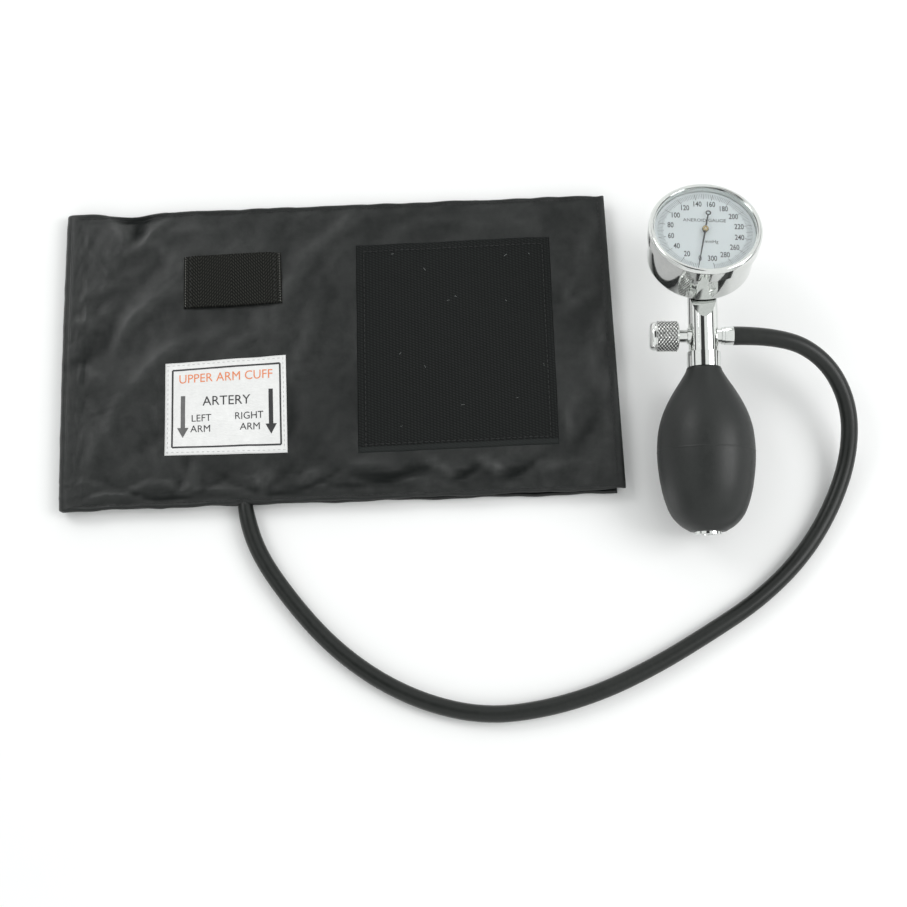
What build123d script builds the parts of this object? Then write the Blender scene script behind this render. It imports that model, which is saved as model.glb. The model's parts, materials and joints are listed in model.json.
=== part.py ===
from build123d import *
import math
import os

# Upper arm blood pressure monitor of the aneroid, palm-gauge kind, laid out on a table:
# a folded nylon cuff, a rubber hose, and a handset of bulb, release valve and dial gauge.
# Millimetres. +X runs along the cuff from its fold to the handset, +Y runs from the bulb
# to the gauge, +Z is up, and the table is z = 0. The origin is under the middle of the
# cuff and handset together, measured without the hose.

os.makedirs("parts", exist_ok=True)

# ---- driving dimensions -------------------------------------------------------------
# Cuff: two flat halves, one folded under the other, hinged along the fold at its left
cuff_width = 145.0
half_thickness = 3.6
half_gap = 0.8
fold_x = -158.0
fold_z = half_thickness + half_gap / 2
upper_length = 252.7
lower_length = 249.5
cuff_near_y = -59.7
lower_half_shift = -1.6
cover_skin = 0.9
corner_radius = 5.0

# Handset placing: the bulb's middle, and how its axis lies
handset_x = 129.17
handset_y = -46.95
handset_z = 22.4
handset_yaw = 2.5
handset_pitch = 6.7
handset_roll = 2.3

# Handset sizes, measured along its axis from the bulb's middle
bulb_radius = 21.6
bulb_wall = 2.3
collar_start = 36.8
collar_end = 43.7
collar_radius = 7.5
stem_radius = 6.65
valve_station = 51.4
channel_radius = 1.6

# Gauge: its front centre on the handset's axes, and how far its face leans to the far end
gauge_station = 96.8
gauge_height = 17.5
gauge_lean = 21.2
bezel_radius = 25.15
case_radius = 23.8
case_wall = 1.5
gauge_depth = 23.0
dial_turn = -2.3
scale_sweep = 340.0

# Movement: a twelve-tooth pinion on the pointer's arbor, turned by a sector, ten to one
gear_module = 0.2
pinion_teeth = 12
gear_ratio = 10
pinion_pitch_radius = gear_module * pinion_teeth / 2
sector_pitch_radius = pinion_pitch_radius * gear_ratio
sector_sweep = scale_sweep / gear_ratio

# Hose
hose_diameter = 7.5
hose_radius = hose_diameter / 2
hose_exit_x = 13.4


# ---- frames -------------------------------------------------------------------------
def handset_plane():
    """Handset frame: x to the hose side, y along the axis to the gauge, z up."""
    yaw = math.radians(handset_yaw)
    pitch = math.radians(handset_pitch)
    roll = math.radians(handset_roll)
    along = Vector(math.sin(yaw) * math.cos(pitch), math.cos(yaw) * math.cos(pitch), math.sin(pitch))
    level = Vector(math.cos(yaw), -math.sin(yaw), 0)
    upright = level.cross(along)
    side = level * math.cos(roll) + upright * math.sin(roll)
    up = upright * math.cos(roll) - level * math.sin(roll)
    return Plane(origin=(handset_x, handset_y, handset_z), x_dir=side, z_dir=up)


def gauge_plane():
    """Gauge frame inside the handset frame: z out of the dial, y to the dial's top."""
    lean = math.radians(gauge_lean)
    face = Plane(
        origin=(0, gauge_station, gauge_height),
        x_dir=(1, 0, 0),
        z_dir=(0, math.sin(lean), math.cos(lean)),
    )
    return face.rotated((0, 0, dial_turn))


handset = handset_plane()
gauge = gauge_plane()


def save(name, shape, *frames):
    for frame in reversed(frames):
        shape = frame.location * shape
    export_step(shape, f"parts/{name}.step")
    return shape


# ---- small makers -------------------------------------------------------------------
def disc(radius, low, high):
    """A round bar along z between two heights."""
    return Pos(0, 0, (low + high) / 2) * Cylinder(radius, high - low)


def ring(outer, inner, low, high):
    return disc(outer, low, high) - disc(inner, low - 1, high + 1)


def bar_y(radius, start, end):
    """A round bar along y, the handset's own axis."""
    return Pos(0, (start + end) / 2, 0) * Rot(90, 0, 0) * Cylinder(radius, end - start)


def ring_y(outer, inner, start, end):
    return bar_y(outer, start, end) - bar_y(inner, start - 1, end + 1)


def bar_x(radius, start, end):
    """A round bar along x at the release valve's station."""
    return Pos((start + end) / 2, valve_station, 0) * Rot(0, 90, 0) * Cylinder(radius, end - start)


def ring_x(outer, inner, start, end):
    return bar_x(outer, start, end) - bar_x(inner, start - 1, end + 1)


def slab(x0, x1, y0, y1, z0, z1, radius):
    """A flat block with rounded upright corners."""
    plate = RectangleRounded(x1 - x0, y1 - y0, radius)
    return Pos((x0 + x1) / 2, (y0 + y1) / 2, z0) * extrude(plate, z1 - z0)


# ---- cuff ---------------------------------------------------------------------------
upper_z = half_thickness + half_gap
top_z = upper_z + half_thickness
cuff_far_y = cuff_near_y + cuff_width
hose_entry_x = fold_x + 80.1
bladder_length = 196.0
bladder_width = 112.0
bladder_start = fold_x + 14.0
bladder_y = cuff_near_y + 16.0
neck_radius = 1.3


def bladder_shape():
    return slab(
        bladder_start, bladder_start + bladder_length,
        bladder_y, bladder_y + bladder_width,
        upper_z + cover_skin + 0.1, top_z - cover_skin - 0.1, 8.0,
    )


def bladder_neck():
    middle = (upper_z + top_z) / 2
    length = bladder_y - cuff_near_y
    return Pos(hose_entry_x, cuff_near_y + length / 2, middle) * Rot(90, 0, 0) * Cylinder(neck_radius, length)


def upper_half():
    cover = slab(fold_x, fold_x + upper_length, cuff_near_y, cuff_far_y, upper_z, top_z, corner_radius)
    pocket = slab(
        bladder_start - 1, bladder_start + bladder_length + 1,
        bladder_y - 1, bladder_y + bladder_width + 1,
        upper_z + cover_skin, top_z - cover_skin, 8.0,
    )
    middle = (upper_z + top_z) / 2
    channel = Pos(hose_entry_x, cuff_near_y + 8, middle) * Rot(90, 0, 0) * Cylinder(neck_radius + 0.1, 20)
    return cover - pocket - channel


def lower_half():
    near = cuff_near_y + lower_half_shift
    return slab(fold_x, fold_x + lower_length, near, near + cuff_width, 0.6, half_thickness, corner_radius)


def loop_patch():
    near = cuff_near_y + lower_half_shift
    return slab(fold_x + 20, fold_x + lower_length - 8, near + 9, near + cuff_width - 9, 0, 0.6, 3)


def flat_patch(start, length, near, depth, thickness):
    x0 = fold_x + start
    y0 = cuff_near_y + near
    return slab(x0, x0 + length, y0, y0 + depth, top_z, top_z + thickness, 1.0)


def tape_loop():
    """A woven tape sewn down at both ends, standing a little clear in between."""
    length, depth = 45.4, 24.6
    band = flat_patch(52.6, length, 95.8, depth, 1.5)
    slack = Pos(fold_x + 75.3, cuff_near_y + 108.1, top_z + 0.4) * Box(length - 9, depth + 8, 0.8)
    return band - slack


save("cuff_upper_half", upper_half())
save("bladder", bladder_shape())
save("bladder_neck", bladder_neck())
save("cuff_lower_half", lower_half())
save("loop_patch", loop_patch())
save("hook_patch", flat_patch(133.0, 91.2, 22.1, 101.0, 0.9))
save("gauge_tape_loop", tape_loop())
save("artery_label", flat_patch(44.2, 55.8, 23.7, 45.3, 0.35))


# ---- bulb and its two check valves --------------------------------------------------
neck_length = 14.0
neck_bore = 4.1
intake_bore = 4.6
bulb_mouth = collar_start - 0.1
bulb_end = -36.6


def bulb_outline(radius, start, end, start_radius, end_radius, shoulder):
    """Half outline of the bulb: two fair curves that meet at the widest place."""
    widest = -3.0
    rear = Spline(
        (start_radius, start), (radius * 0.81, start * 0.73), (radius, widest),
        tangents=((1, -0.12), (0, 1)),
    )
    front = Spline(
        (radius, widest), shoulder, (end_radius, end),
        tangents=((0, 1), (-0.16, 1)),
    )
    axis_line = Polyline((end_radius, end), (0, end), (0, start), (start_radius, start))
    return make_face(rear + front + axis_line)


def bulb_shape():
    shoulder = (bulb_radius * 0.795, 19.4)
    outer = revolve(bulb_outline(bulb_radius, bulb_end, bulb_mouth, 8.0, collar_radius, shoulder), Axis.Y)
    hollow_radius = bulb_radius - bulb_wall
    hollow_end = bulb_mouth - neck_length + 4.0
    inner_shoulder = (hollow_radius * 0.85, 14.5)
    inner = revolve(
        bulb_outline(hollow_radius, bulb_end + 7.0, hollow_end, 6.0, 9.0, inner_shoulder), Axis.Y
    )
    hollow = outer - inner
    return hollow - bar_y(neck_bore, hollow_end - 4, bulb_mouth + 1) - bar_y(intake_bore, bulb_end - 1, -26)


def intake_housing():
    tube = ring_y(intake_bore - 0.05, 3.0, bulb_end - 1.3, -27.0)
    flange = ring_y(6.0, 3.0, bulb_end - 1.3, bulb_end - 0.1)
    seat = ring_y(3.05, 1.3, -34.6, -33.8)
    return tube + flange + seat


def intake_cap():
    cap = bar_y(2.95, bulb_end - 1.2, bulb_end - 0.3)
    for turn in range(6):
        angle = math.radians(60 * turn)
        cap -= Pos(1.8 * math.cos(angle), 0, 1.8 * math.sin(angle)) * bar_y(0.45, -40, -30)
    return cap


save("bulb", bulb_shape(), handset)
save("intake_valve_housing", intake_housing(), handset)
save("intake_valve_cap", intake_cap(), handset)
save("intake_valve_disc", bar_y(2.3, -33.75, -33.15), handset)
save("intake_valve_keeper", ring_y(2.95, 1.5, -32.3, -31.6), handset)
save("bulb_collar", ring_y(collar_radius, 5.05, collar_start, collar_end - 0.05), handset)

outlet_start = 23.0
save("outlet_valve_seat", ring_y(2.55, 1.2, outlet_start + 0.5, outlet_start + 2.0), handset)
save("outlet_valve_disc", bar_y(2.1, outlet_start + 2.1, outlet_start + 2.7), handset)
save("outlet_valve_keeper", ring_y(2.55, 1.3, outlet_start + 3.6, outlet_start + 4.4), handset)


# ---- valve body, release valve and hose connector ------------------------------------
washer_thickness = 0.8
boss_radius = 8.5
boss_depth = 9.0
valve_reach = 24.0
knob_length = 12.8
knob_radius = 6.9
neck_sleeve_radius = 2.9


def behind_gauge(extra):
    """Everything on the dial's side of a plane behind the gauge's back."""
    keep_out = Pos(0, 0, -gauge_depth - extra + 40) * Box(160, 160, 80)
    return gauge.location * keep_out


def valve_body():
    stem = bar_y(stem_radius, collar_end, gauge_station + 2)
    root = bar_y(5.0, collar_start - 0.1, collar_end + 1)
    spigot = bar_y(neck_bore - 0.05, outlet_start, collar_start)
    boss = gauge.location * disc(boss_radius, -gauge_depth - boss_depth, -gauge_depth)
    left_boss = bar_x(3.7, -7.2, 0)
    right_boss = bar_x(3.4, 0, 8.0)
    body = stem + root + spigot + boss + left_boss + right_boss
    body -= behind_gauge(washer_thickness)
    body -= bar_y(channel_radius, outlet_start - 1, gauge_station - 11)
    body -= bar_y(2.6, outlet_start - 1, outlet_start + 6)
    body -= bar_x(2.6, -8, -2.4)
    body -= bar_x(1.5, -2.5, 0)
    body -= bar_x(2.4, 3.4, 9)
    body -= bar_x(1.2, 0, 4)
    body -= gauge.location * disc(3.1, -gauge_depth - 6.0, 0)
    body -= Pos(-1.9, valve_station, -5) * Cylinder(0.28, 10)
    return body


def valve_knob():
    start = -valve_reach
    end = start + knob_length
    grip = bar_x(knob_radius, start + 2.6, end)
    grip = chamfer(grip.edges(), 0.35)
    dome = bar_x(knob_radius - 0.4, start, start + 2.7)
    rim = dome.edges().sort_by(Axis.X)[0]
    dome = fillet(rim, 1.6)
    knob = grip + dome
    knob -= bar_x(neck_sleeve_radius + 0.3, end - 3.4, end + 1)
    knob -= bar_x(1.2, start + 4.0, end)
    return knob


def packing_nut():
    sleeve = bar_x(neck_sleeve_radius, -13.9, -7.25)
    thread = bar_x(2.5, -7.3, -3.5)
    return sleeve + thread - bar_x(1.3, -15, -3)


def needle():
    cone = Cone(0.95, 0.35, 1.9)
    return Pos(-1.4, valve_station, 0) * Rot(0, 90, 0) * cone


def valve_seat():
    hole = Cone(1.15, 0.55, 1.9)
    return bar_x(1.48, -1.6, -0.1) - Pos(-1.2, valve_station, 0) * Rot(0, 90, 0) * hole


def hose_nipple():
    shank = bar_x(2.35, 3.5, 9.4)
    shoulder = bar_x(3.9, 8.05, 9.4)
    barb = bar_x(2.4, 9.3, 24.0)
    for step in range(3):
        cone = Cone(2.9, 2.4, 2.6)
        barb += Pos(16.0 + 3.0 * step, valve_station, 0) * Rot(0, 90, 0) * cone
    return shank + shoulder + barb - bar_x(1.2, 3, 25)


save("valve_body", valve_body(), handset)
save("valve_knob", valve_knob(), handset)
save("valve_spindle", bar_x(1.19, -19.9, -2.45), handset)
save("valve_needle", needle(), handset)
save("valve_seat", valve_seat(), handset)
save("packing_nut", packing_nut(), handset)
save("packing_ring", ring_x(2.55, 1.3, -3.4, -2.6), handset)
save("hose_nipple", hose_nipple(), handset)
save("hose_ferrule", ring_x(4.15, 2.5, 9.45, hose_exit_x), handset)


# ---- gauge case, glass and dial -------------------------------------------------------
glass_radius = 23.4
glass_top = -0.35
glass_bottom = -1.1
opening_radius = 23.0
case_front = -4.1
dial_radius = 22.4
spacer_bore = dial_radius + 0.1
ledge_radius = 20.6
case_bore = case_radius - case_wall
case_floor = -gauge_depth + 1.2


def bezel():
    inner_skirt = case_radius + 0.08
    pocket = glass_radius + 0.1
    shoulder = case_front + 0.1
    lip_under = glass_top + 0.05
    skirt_end = -6.9
    outline = Polyline(
        (inner_skirt, shoulder), (pocket, shoulder), (pocket, lip_under),
        (opening_radius, lip_under), (opening_radius + 0.1, -0.15),
    )
    lip = ThreePointArc((opening_radius + 0.1, -0.15), (23.8, 0.0), (bezel_radius - 0.5, -0.6))
    roll = ThreePointArc((bezel_radius - 0.5, -0.6), (bezel_radius - 0.1, -1.1), (bezel_radius, -1.8))
    skirt = Polyline(
        (bezel_radius, -1.8), (bezel_radius, skirt_end), (inner_skirt, skirt_end), (inner_skirt, shoulder),
    )
    face = make_face(outline + lip + roll + skirt)
    return revolve(Plane.XZ * face, Axis.Z)


def gauge_case():
    shell = disc(case_radius, -gauge_depth, case_front)
    shell = fillet(shell.edges().sort_by(Axis.Z)[0], 1.6)
    shell -= disc(case_bore, case_floor, case_front + 1)
    shell -= disc(4.0, -gauge_depth - 1, case_floor + 1)
    ledge = ring(case_bore + 0.1, ledge_radius, case_front - 0.6, case_front)
    return shell + ledge


def gauge_spigot():
    flange = disc(6.0, case_floor + 0.05, case_floor + 0.9)
    stem = disc(3.9, -gauge_depth, case_floor + 0.1)
    thread = disc(3.0, -gauge_depth - 5.8, -gauge_depth + 0.1)
    return flange + stem + thread - disc(1.0, -gauge_depth - 7, case_floor + 2)


dial_top = case_front + 0.5
save("gauge_seal", ring(boss_radius, 3.1, -gauge_depth - washer_thickness, -gauge_depth), handset, gauge)
save("gauge_spigot", gauge_spigot(), handset, gauge)
save("gauge_case", gauge_case(), handset, gauge)
save("gauge_bezel", bezel(), handset, gauge)
save("gauge_lens", disc(glass_radius, glass_bottom, glass_top), handset, gauge)
save("lens_spacer", ring(glass_radius, spacer_bore, case_front + 0.05, glass_bottom - 0.05), handset, gauge)
save("gauge_dial", ring(dial_radius, 0.9, dial_top - 0.45, dial_top), handset, gauge)


# ---- gauge movement -------------------------------------------------------------------
def radial(angle, radius):
    """A point in the dial plane, the angle counted clockwise from the dial's top."""
    turn = math.radians(angle)
    return Vector(radius * math.sin(turn), radius * math.cos(turn), 0)


zero_angle = -scale_sweep / 2
shaft_x = 3.0
shaft_z = -15.4
centre_distance = pinion_pitch_radius + sector_pitch_radius
pivot = Vector(shaft_x, -math.sqrt(centre_distance**2 - shaft_x**2), 0)
mesh_angle = math.degrees(math.asin(shaft_x / centre_distance))
post_places = [radial(angle, 13.6) for angle in (0, 120, 240)]
plate_radius = 15.4
tooth_height = 0.15
tooth_half_angle = 0.095
pointer_low = -2.0
hub_top = -1.3


def pointer():
    """A thin tapered hand with a ring on its tail."""
    tip = 20.4
    tail = 8.3
    left_side = [(-0.16, tip), (-0.42, 0.4), (-0.3, -tail)]
    right_side = [(-x, y) for x, y in reversed(left_side)]
    blade = Polygon(*left_side, *right_side, align=None)
    eye = Pos(0, -tail - 0.9) * (Circle(1.25) - Circle(0.75))
    hand = blade + eye + Circle(1.5) - Circle(0.75)
    hand = extrude(hand, 0.2)
    return Rot(0, 0, -zero_angle) * Pos(0, 0, pointer_low) * hand


def pointer_hub():
    collar = ring(1.2, 0.46, pointer_low - 0.6, pointer_low - 0.05)
    sleeve = ring(0.7, 0.46, pointer_low - 0.1, pointer_low + 0.3)
    cap = ring(1.35, 0.46, pointer_low + 0.25, hub_top)
    return collar + sleeve + cap


def gear_tooth(pitch_radius, half_angle_at_pitch):
    """One short straight-sided tooth pointing along +y."""
    half = pitch_radius * half_angle_at_pitch
    low = pitch_radius - tooth_height - 0.1
    high = pitch_radius + tooth_height
    foot = half * 1.5
    tip = half * 0.55
    return Polygon((-foot, low), (foot, low), (tip, high), (-tip, high), align=None)


def pinion():
    teeth = Circle(pinion_pitch_radius - tooth_height - 0.05)
    for index in range(pinion_teeth):
        turn = mesh_angle + 360 / pinion_teeth * index
        teeth += Rot(0, 0, turn) * gear_tooth(pinion_pitch_radius, tooth_half_angle)
    return Pos(0, 0, -11.4) * extrude(teeth, 1.6)


def pinion_arbor():
    return disc(0.42, -13.3, hub_top - 0.15) + pinion()


def sector():
    """A toothed fan with a forked tail, drawn with its mesh point straight up from its pivot."""
    step = 360 / (pinion_teeth * gear_ratio)
    spare = 3
    first = -round(sector_sweep / step) - spare
    last = spare
    rim_radius = sector_pitch_radius - tooth_height - 0.05
    middle = (first + last) / 2 * step
    half_fan = (last - first) / 2 * step
    reach = 20.0
    edge = math.radians(half_fan)
    wedge = Polygon(
        (0, 0), (reach * math.sin(edge), reach * math.cos(edge)),
        (0, reach * 1.4), (-reach * math.sin(edge), reach * math.cos(edge)),
        align=None,
    )
    rim = (Circle(rim_radius) - Circle(rim_radius - 1.4)) & wedge
    spoke = Pos(0, rim_radius / 2) * Rectangle(2.2, rim_radius - 0.6)
    fan = Rot(0, 0, middle) * (rim + spoke)
    tail = Pos(0, -1.6) * Rectangle(1.6, 2.0)
    for side in (-1, 1):
        tail += Pos(side * 0.9, -3.3) * Rectangle(0.5, 3.0)
    tail += Pos(0, -2.3) * Rectangle(2.3, 0.9)
    tail = Rot(0, 0, -sector_sweep / 2) * tail
    shape = fan + Circle(1.6) + tail
    for index in range(first, last):
        tooth = gear_tooth(sector_pitch_radius, tooth_half_angle / gear_ratio)
        shape += Rot(0, 0, (index + 0.5) * step) * tooth
    shape = extrude(shape - Circle(0.45), 0.6)
    return Pos(pivot.X, pivot.Y, -10.9) * Rot(0, 0, mesh_angle) * shape


def sector_arbor():
    arbor = disc(0.45, -13.3, -8.2) + ring(1.0, 0.4, -11.5, -10.95)
    return Pos(pivot.X, pivot.Y, 0) * arbor


lug_places = (2.2, -14.0)
fork_length = 3.4
arm_reach = 4.8
lever_length = shaft_x


def lower_plate():
    plate = disc(plate_radius, -13.6, -12.8)
    for place in lug_places:
        plate += Pos(shaft_x, place, -14.75) * Box(2.6, 0.9, 2.4)
    for place in lug_places:
        plate -= Pos(shaft_x, place, shaft_z) * Rot(90, 0, 0) * Cylinder(0.62, 3)
    plate -= disc(0.5, -14, -12)
    plate -= Pos(pivot.X, pivot.Y, 0) * disc(0.52, -14, -12)
    return plate


def upper_plate():
    plate = disc(plate_radius, -8.6, -7.9)
    plate -= disc(0.5, -9, -7)
    plate -= Pos(pivot.X, pivot.Y, 0) * disc(0.52, -9, -7)
    return plate


def at_posts(shape):
    return Compound(children=[Pos(place.X, place.Y, 0) * shape for place in post_places])


def arm_angle(fork_angle):
    """The rocking arm's lean, in degrees, while the fork stands at this angle."""
    sideways = fork_length * math.sin(math.radians(fork_angle))
    return math.degrees(math.asin(sideways / arm_reach))


arm_start = arm_angle(mesh_angle - sector_sweep / 2)
arm_end = arm_angle(mesh_angle + sector_sweep / 2)
rocker_sweep = arm_end - arm_start
capsule_travel = 2 * lever_length * math.sin(math.radians(rocker_sweep / 2))


def rocking_shaft():
    """A shaft with a lever over the capsule and an arm up into the sector's fork."""
    rod = Pos(shaft_x, -6.95, shaft_z) * Rot(90, 0, 0) * Cylinder(0.55, 19.1)
    lever = Pos(-lever_length / 2 - 0.2, 0, 0) * Box(lever_length + 0.4, 1.4, 0.6)
    lever = Pos(shaft_x, 0, shaft_z) * Rot(0, -rocker_sweep / 2, 0) * lever
    arm = Pos(0, 0, 2.7) * Box(0.6, 0.6, 5.4)
    arm = Pos(shaft_x, -16.1, shaft_z) * Rot(0, arm_start, 0) * arm
    return rod + lever + arm


def hairspring():
    """A flat spiral of half rings, each a little larger than the last."""
    growth = 0.28
    strip = 0.1
    start_radius = 1.25
    spiral = None
    for index in range(7):
        radius = start_radius + growth * index
        centre = 0 if index % 2 == 0 else growth
        side = 1 if index % 2 == 0 else -1
        half = Circle(radius + strip / 2) - Circle(radius - strip / 2)
        half &= Pos(0, side * 10) * Rectangle(20, 20)
        half = Pos(centre, 0) * half
        spiral = half if spiral is None else spiral + half
    return Pos(0, 0, -9.6) * extrude(spiral, 0.3)


capsule_radius = 11.5


def capsule_half(rise):
    """One thin dished diaphragm with a rolled step half way out."""
    outline = Polyline(
        (0, 0), (3.0, 0), (4.0, rise * 0.5), (7.0, rise * 0.5), (8.0, 0), (capsule_radius, 0),
        (capsule_radius, 0.35), (7.8, 0.35), (6.8, rise * 0.5 + 0.35), (4.2, rise * 0.5 + 0.35),
        (3.2, 0.35), (0, 0.35), (0, 0),
    )
    return revolve(Plane.XZ * make_face(outline), Axis.Z)


save("pointer", pointer(), handset, gauge)
save("pointer_hub", pointer_hub(), handset, gauge)
save("pinion_arbor", pinion_arbor(), handset, gauge)
save("sector_gear", sector(), handset, gauge)
save("sector_arbor", sector_arbor(), handset, gauge)
save("rocking_shaft", rocking_shaft(), handset, gauge)
save("hairspring", hairspring(), handset, gauge)
save("movement_lower_plate", lower_plate(), handset, gauge)
save("movement_upper_plate", upper_plate(), handset, gauge)
save("movement_feet", at_posts(disc(1.2, case_floor + 0.02, -13.62)), handset, gauge)
save("movement_pillars", at_posts(disc(1.2, -12.78, -8.62)), handset, gauge)
save("movement_screws", at_posts(disc(1.5, -7.88, -7.4)), handset, gauge)
save("capsule_lower", Pos(0, 0, -20.8) * capsule_half(0.6), handset, gauge)
save("capsule_upper", Pos(0, 0, -19.6) * capsule_half(0.6), handset, gauge)
save("capsule_stud", disc(0.9, -19.2, -16.9), handset, gauge)


# ---- hose -----------------------------------------------------------------------------
def from_handset(x, y, z):
    return handset.from_local_coords(Vector(x, y, z))


first_run = 22.3
hose_start = from_handset(hose_exit_x, valve_station, 0)
hose_second = from_handset(hose_exit_x + first_run, valve_station, 0)
hose_route = [
    hose_start,
    hose_second,
    Vector(186.6, -8.3, 24.8),
    Vector(196.9, -27.2, 17.0),
    Vector(196.5, -49.0, 9.0),
    Vector(187.2, -72.0, 4.4),
    Vector(171.5, -93.9, 3.8),
    Vector(150.4, -112.2, 3.8),
    Vector(126.5, -126.2, 3.8),
    Vector(102.7, -139.0, 3.8),
    Vector(78.4, -149.4, 3.8),
    Vector(53.3, -155.9, 3.8),
    Vector(27.7, -158.0, 3.8),
    Vector(2.8, -152.2, 3.8),
    Vector(-20.2, -140.6, 3.8),
    Vector(-40.6, -124.2, 3.8),
    Vector(-57.7, -103.9, 3.8),
    Vector(-72.0, -82.2, 3.8),
    Vector(-77.9, -62.7, 4.1),
]


def bend_radii(route):
    """The largest arc that each corner's two runs leave room for."""
    radii = []
    for before, corner, after in zip(route, route[1:], route[2:]):
        turn = math.radians((corner - before).get_angle(after - corner))
        shorter = min((corner - before).length, (after - corner).length)
        radii.append(0.45 * shorter / math.tan(turn / 2))
    return radii


def hose():
    radii = bend_radii(hose_route)
    path = FilletPolyline(*hose_route, radius=radii)
    section = Plane(origin=path @ 0, z_dir=path % 0) * Circle(hose_radius)
    tube = sweep(section, path)
    expected = math.pi * hose_radius**2 * path.length
    print("hose radii", [round(radius) for radius in radii])
    print("hose length", round(path.length, 1), "volume", round(tube.volume), "expected", round(expected))
    return tube


save("hose", hose())
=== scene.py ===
import json
import math
import random
import bmesh
import bpy
from mathutils import Matrix, Vector
from mathutils.bvhtree import BVHTree


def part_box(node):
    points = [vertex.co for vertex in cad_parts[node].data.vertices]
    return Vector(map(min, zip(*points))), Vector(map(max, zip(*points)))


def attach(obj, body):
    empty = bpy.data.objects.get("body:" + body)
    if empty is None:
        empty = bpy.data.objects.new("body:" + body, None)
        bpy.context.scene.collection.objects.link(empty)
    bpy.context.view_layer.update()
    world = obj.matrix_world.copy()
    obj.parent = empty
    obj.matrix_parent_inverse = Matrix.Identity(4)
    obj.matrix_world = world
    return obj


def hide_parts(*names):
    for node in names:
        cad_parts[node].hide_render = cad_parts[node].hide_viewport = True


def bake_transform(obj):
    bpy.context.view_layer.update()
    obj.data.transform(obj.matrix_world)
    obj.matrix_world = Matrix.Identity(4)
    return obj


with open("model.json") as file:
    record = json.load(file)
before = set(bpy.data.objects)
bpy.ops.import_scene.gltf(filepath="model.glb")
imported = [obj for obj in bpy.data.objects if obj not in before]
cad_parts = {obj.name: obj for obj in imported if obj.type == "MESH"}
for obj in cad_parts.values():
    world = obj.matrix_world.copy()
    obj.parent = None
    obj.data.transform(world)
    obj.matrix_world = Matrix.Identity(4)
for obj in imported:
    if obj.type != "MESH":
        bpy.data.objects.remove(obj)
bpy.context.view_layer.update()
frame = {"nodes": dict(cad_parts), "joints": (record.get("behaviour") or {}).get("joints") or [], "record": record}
scene = bpy.context.scene

# ---- Camera ---------------------------------------------------------------------------
# A long lens looks steeply down at the laid-out monitor, turned a little to the left, from
# the side where the bulb lies.
view_turn = math.radians(-2.46)
view_height = math.radians(75.0)
view_target = Vector((0.0174, -0.0381, 0.0))
view_distance = 0.6337
view_back = Vector((
    math.sin(view_turn) * math.cos(view_height),
    -math.cos(view_turn) * math.cos(view_height),
    math.sin(view_height),
))
camera = bpy.data.objects.new("camera", bpy.data.cameras.new("camera"))
camera.data.sensor_width = 36.0
camera.data.lens = 54.66
camera.location = view_target + view_back * view_distance
camera.rotation_euler = view_back.to_track_quat("Z", "Y").to_euler()
scene.collection.objects.link(camera)
scene.camera = camera

# ---- Hose -----------------------------------------------------------------------------
# A black rubber tube, 7.5 mm thick, pushed over the valve body's barbed nipple. It drops to
# the table, swings round in one wide loop and goes into the hem of the cuff.
mm = 0.001
hose_diameter = 7.5 * mm
hose_route = [
    (0.14477, 0.00340, 0.02893), (0.16703, 0.00233, 0.02982), (0.1866, -0.0083, 0.0248),
    (0.1969, -0.0272, 0.0170), (0.1965, -0.0490, 0.0090), (0.1872, -0.0720, 0.0044),
    (0.1715, -0.0939, 0.0038), (0.1504, -0.1122, 0.0038), (0.1265, -0.1262, 0.0038),
    (0.1027, -0.1390, 0.0038), (0.0784, -0.1494, 0.0038), (0.0533, -0.1559, 0.0038),
    (0.0277, -0.1580, 0.0038), (0.0028, -0.1522, 0.0038), (-0.0202, -0.1406, 0.0038),
    (-0.0406, -0.1242, 0.0038), (-0.0577, -0.1039, 0.0038), (-0.0720, -0.0822, 0.0038),
    (-0.0779, -0.0627, 0.0041), (-0.0779, -0.0560, 0.0041),
]


def place_node(tree, kind, inputs=None, **settings):
    """A shader or geometry node with its settings, its inputs set or linked by name or index."""
    made = tree.nodes.new(kind)
    for key, value in settings.items():
        setattr(made, key, value)
    for key, value in (inputs or {}).items():
        socket = made.inputs[key]
        if isinstance(value, bpy.types.NodeSocket):
            tree.links.new(value, socket)
        else:
            socket.default_value = value
    return made


def shader_group(name, inputs, outputs, build):
    """A shader node group with named inputs and outputs, filled in by build(tree, given)."""
    tree = bpy.data.node_groups.new(name, "ShaderNodeTree")
    for label, value in inputs.items():
        socket = tree.interface.new_socket(label, in_out="INPUT", socket_type="NodeSocketFloat")
        socket.default_value = value
    for label, kind in outputs.items():
        tree.interface.new_socket(label, in_out="OUTPUT", socket_type=kind)
    given = tree.nodes.new("NodeGroupInput")
    result = tree.nodes.new("NodeGroupOutput")
    for label, socket in build(tree, given).items():
        tree.links.new(socket, result.inputs[label])
    return tree


def maths_in(tree):
    """The tree's own short way to write a Math node: it takes an operation and its values."""
    def maths(operation, *values, **settings):
        made = place_node(tree, "ShaderNodeMath", dict(enumerate(values)), operation=operation, **settings)
        return made.outputs[0]

    return maths


def noise_on(tree, scale, detail, roughness, distortion=0.0):
    """A noise value that keeps to its place on the piece."""
    where = place_node(tree, "ShaderNodeTexCoord")
    made = place_node(tree, "ShaderNodeTexNoise", {
        "Vector": where.outputs["Object"], "Scale": scale, "Detail": detail, "Roughness": roughness,
        "Distortion": distortion,
    })
    return made.outputs["Fac"]


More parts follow.
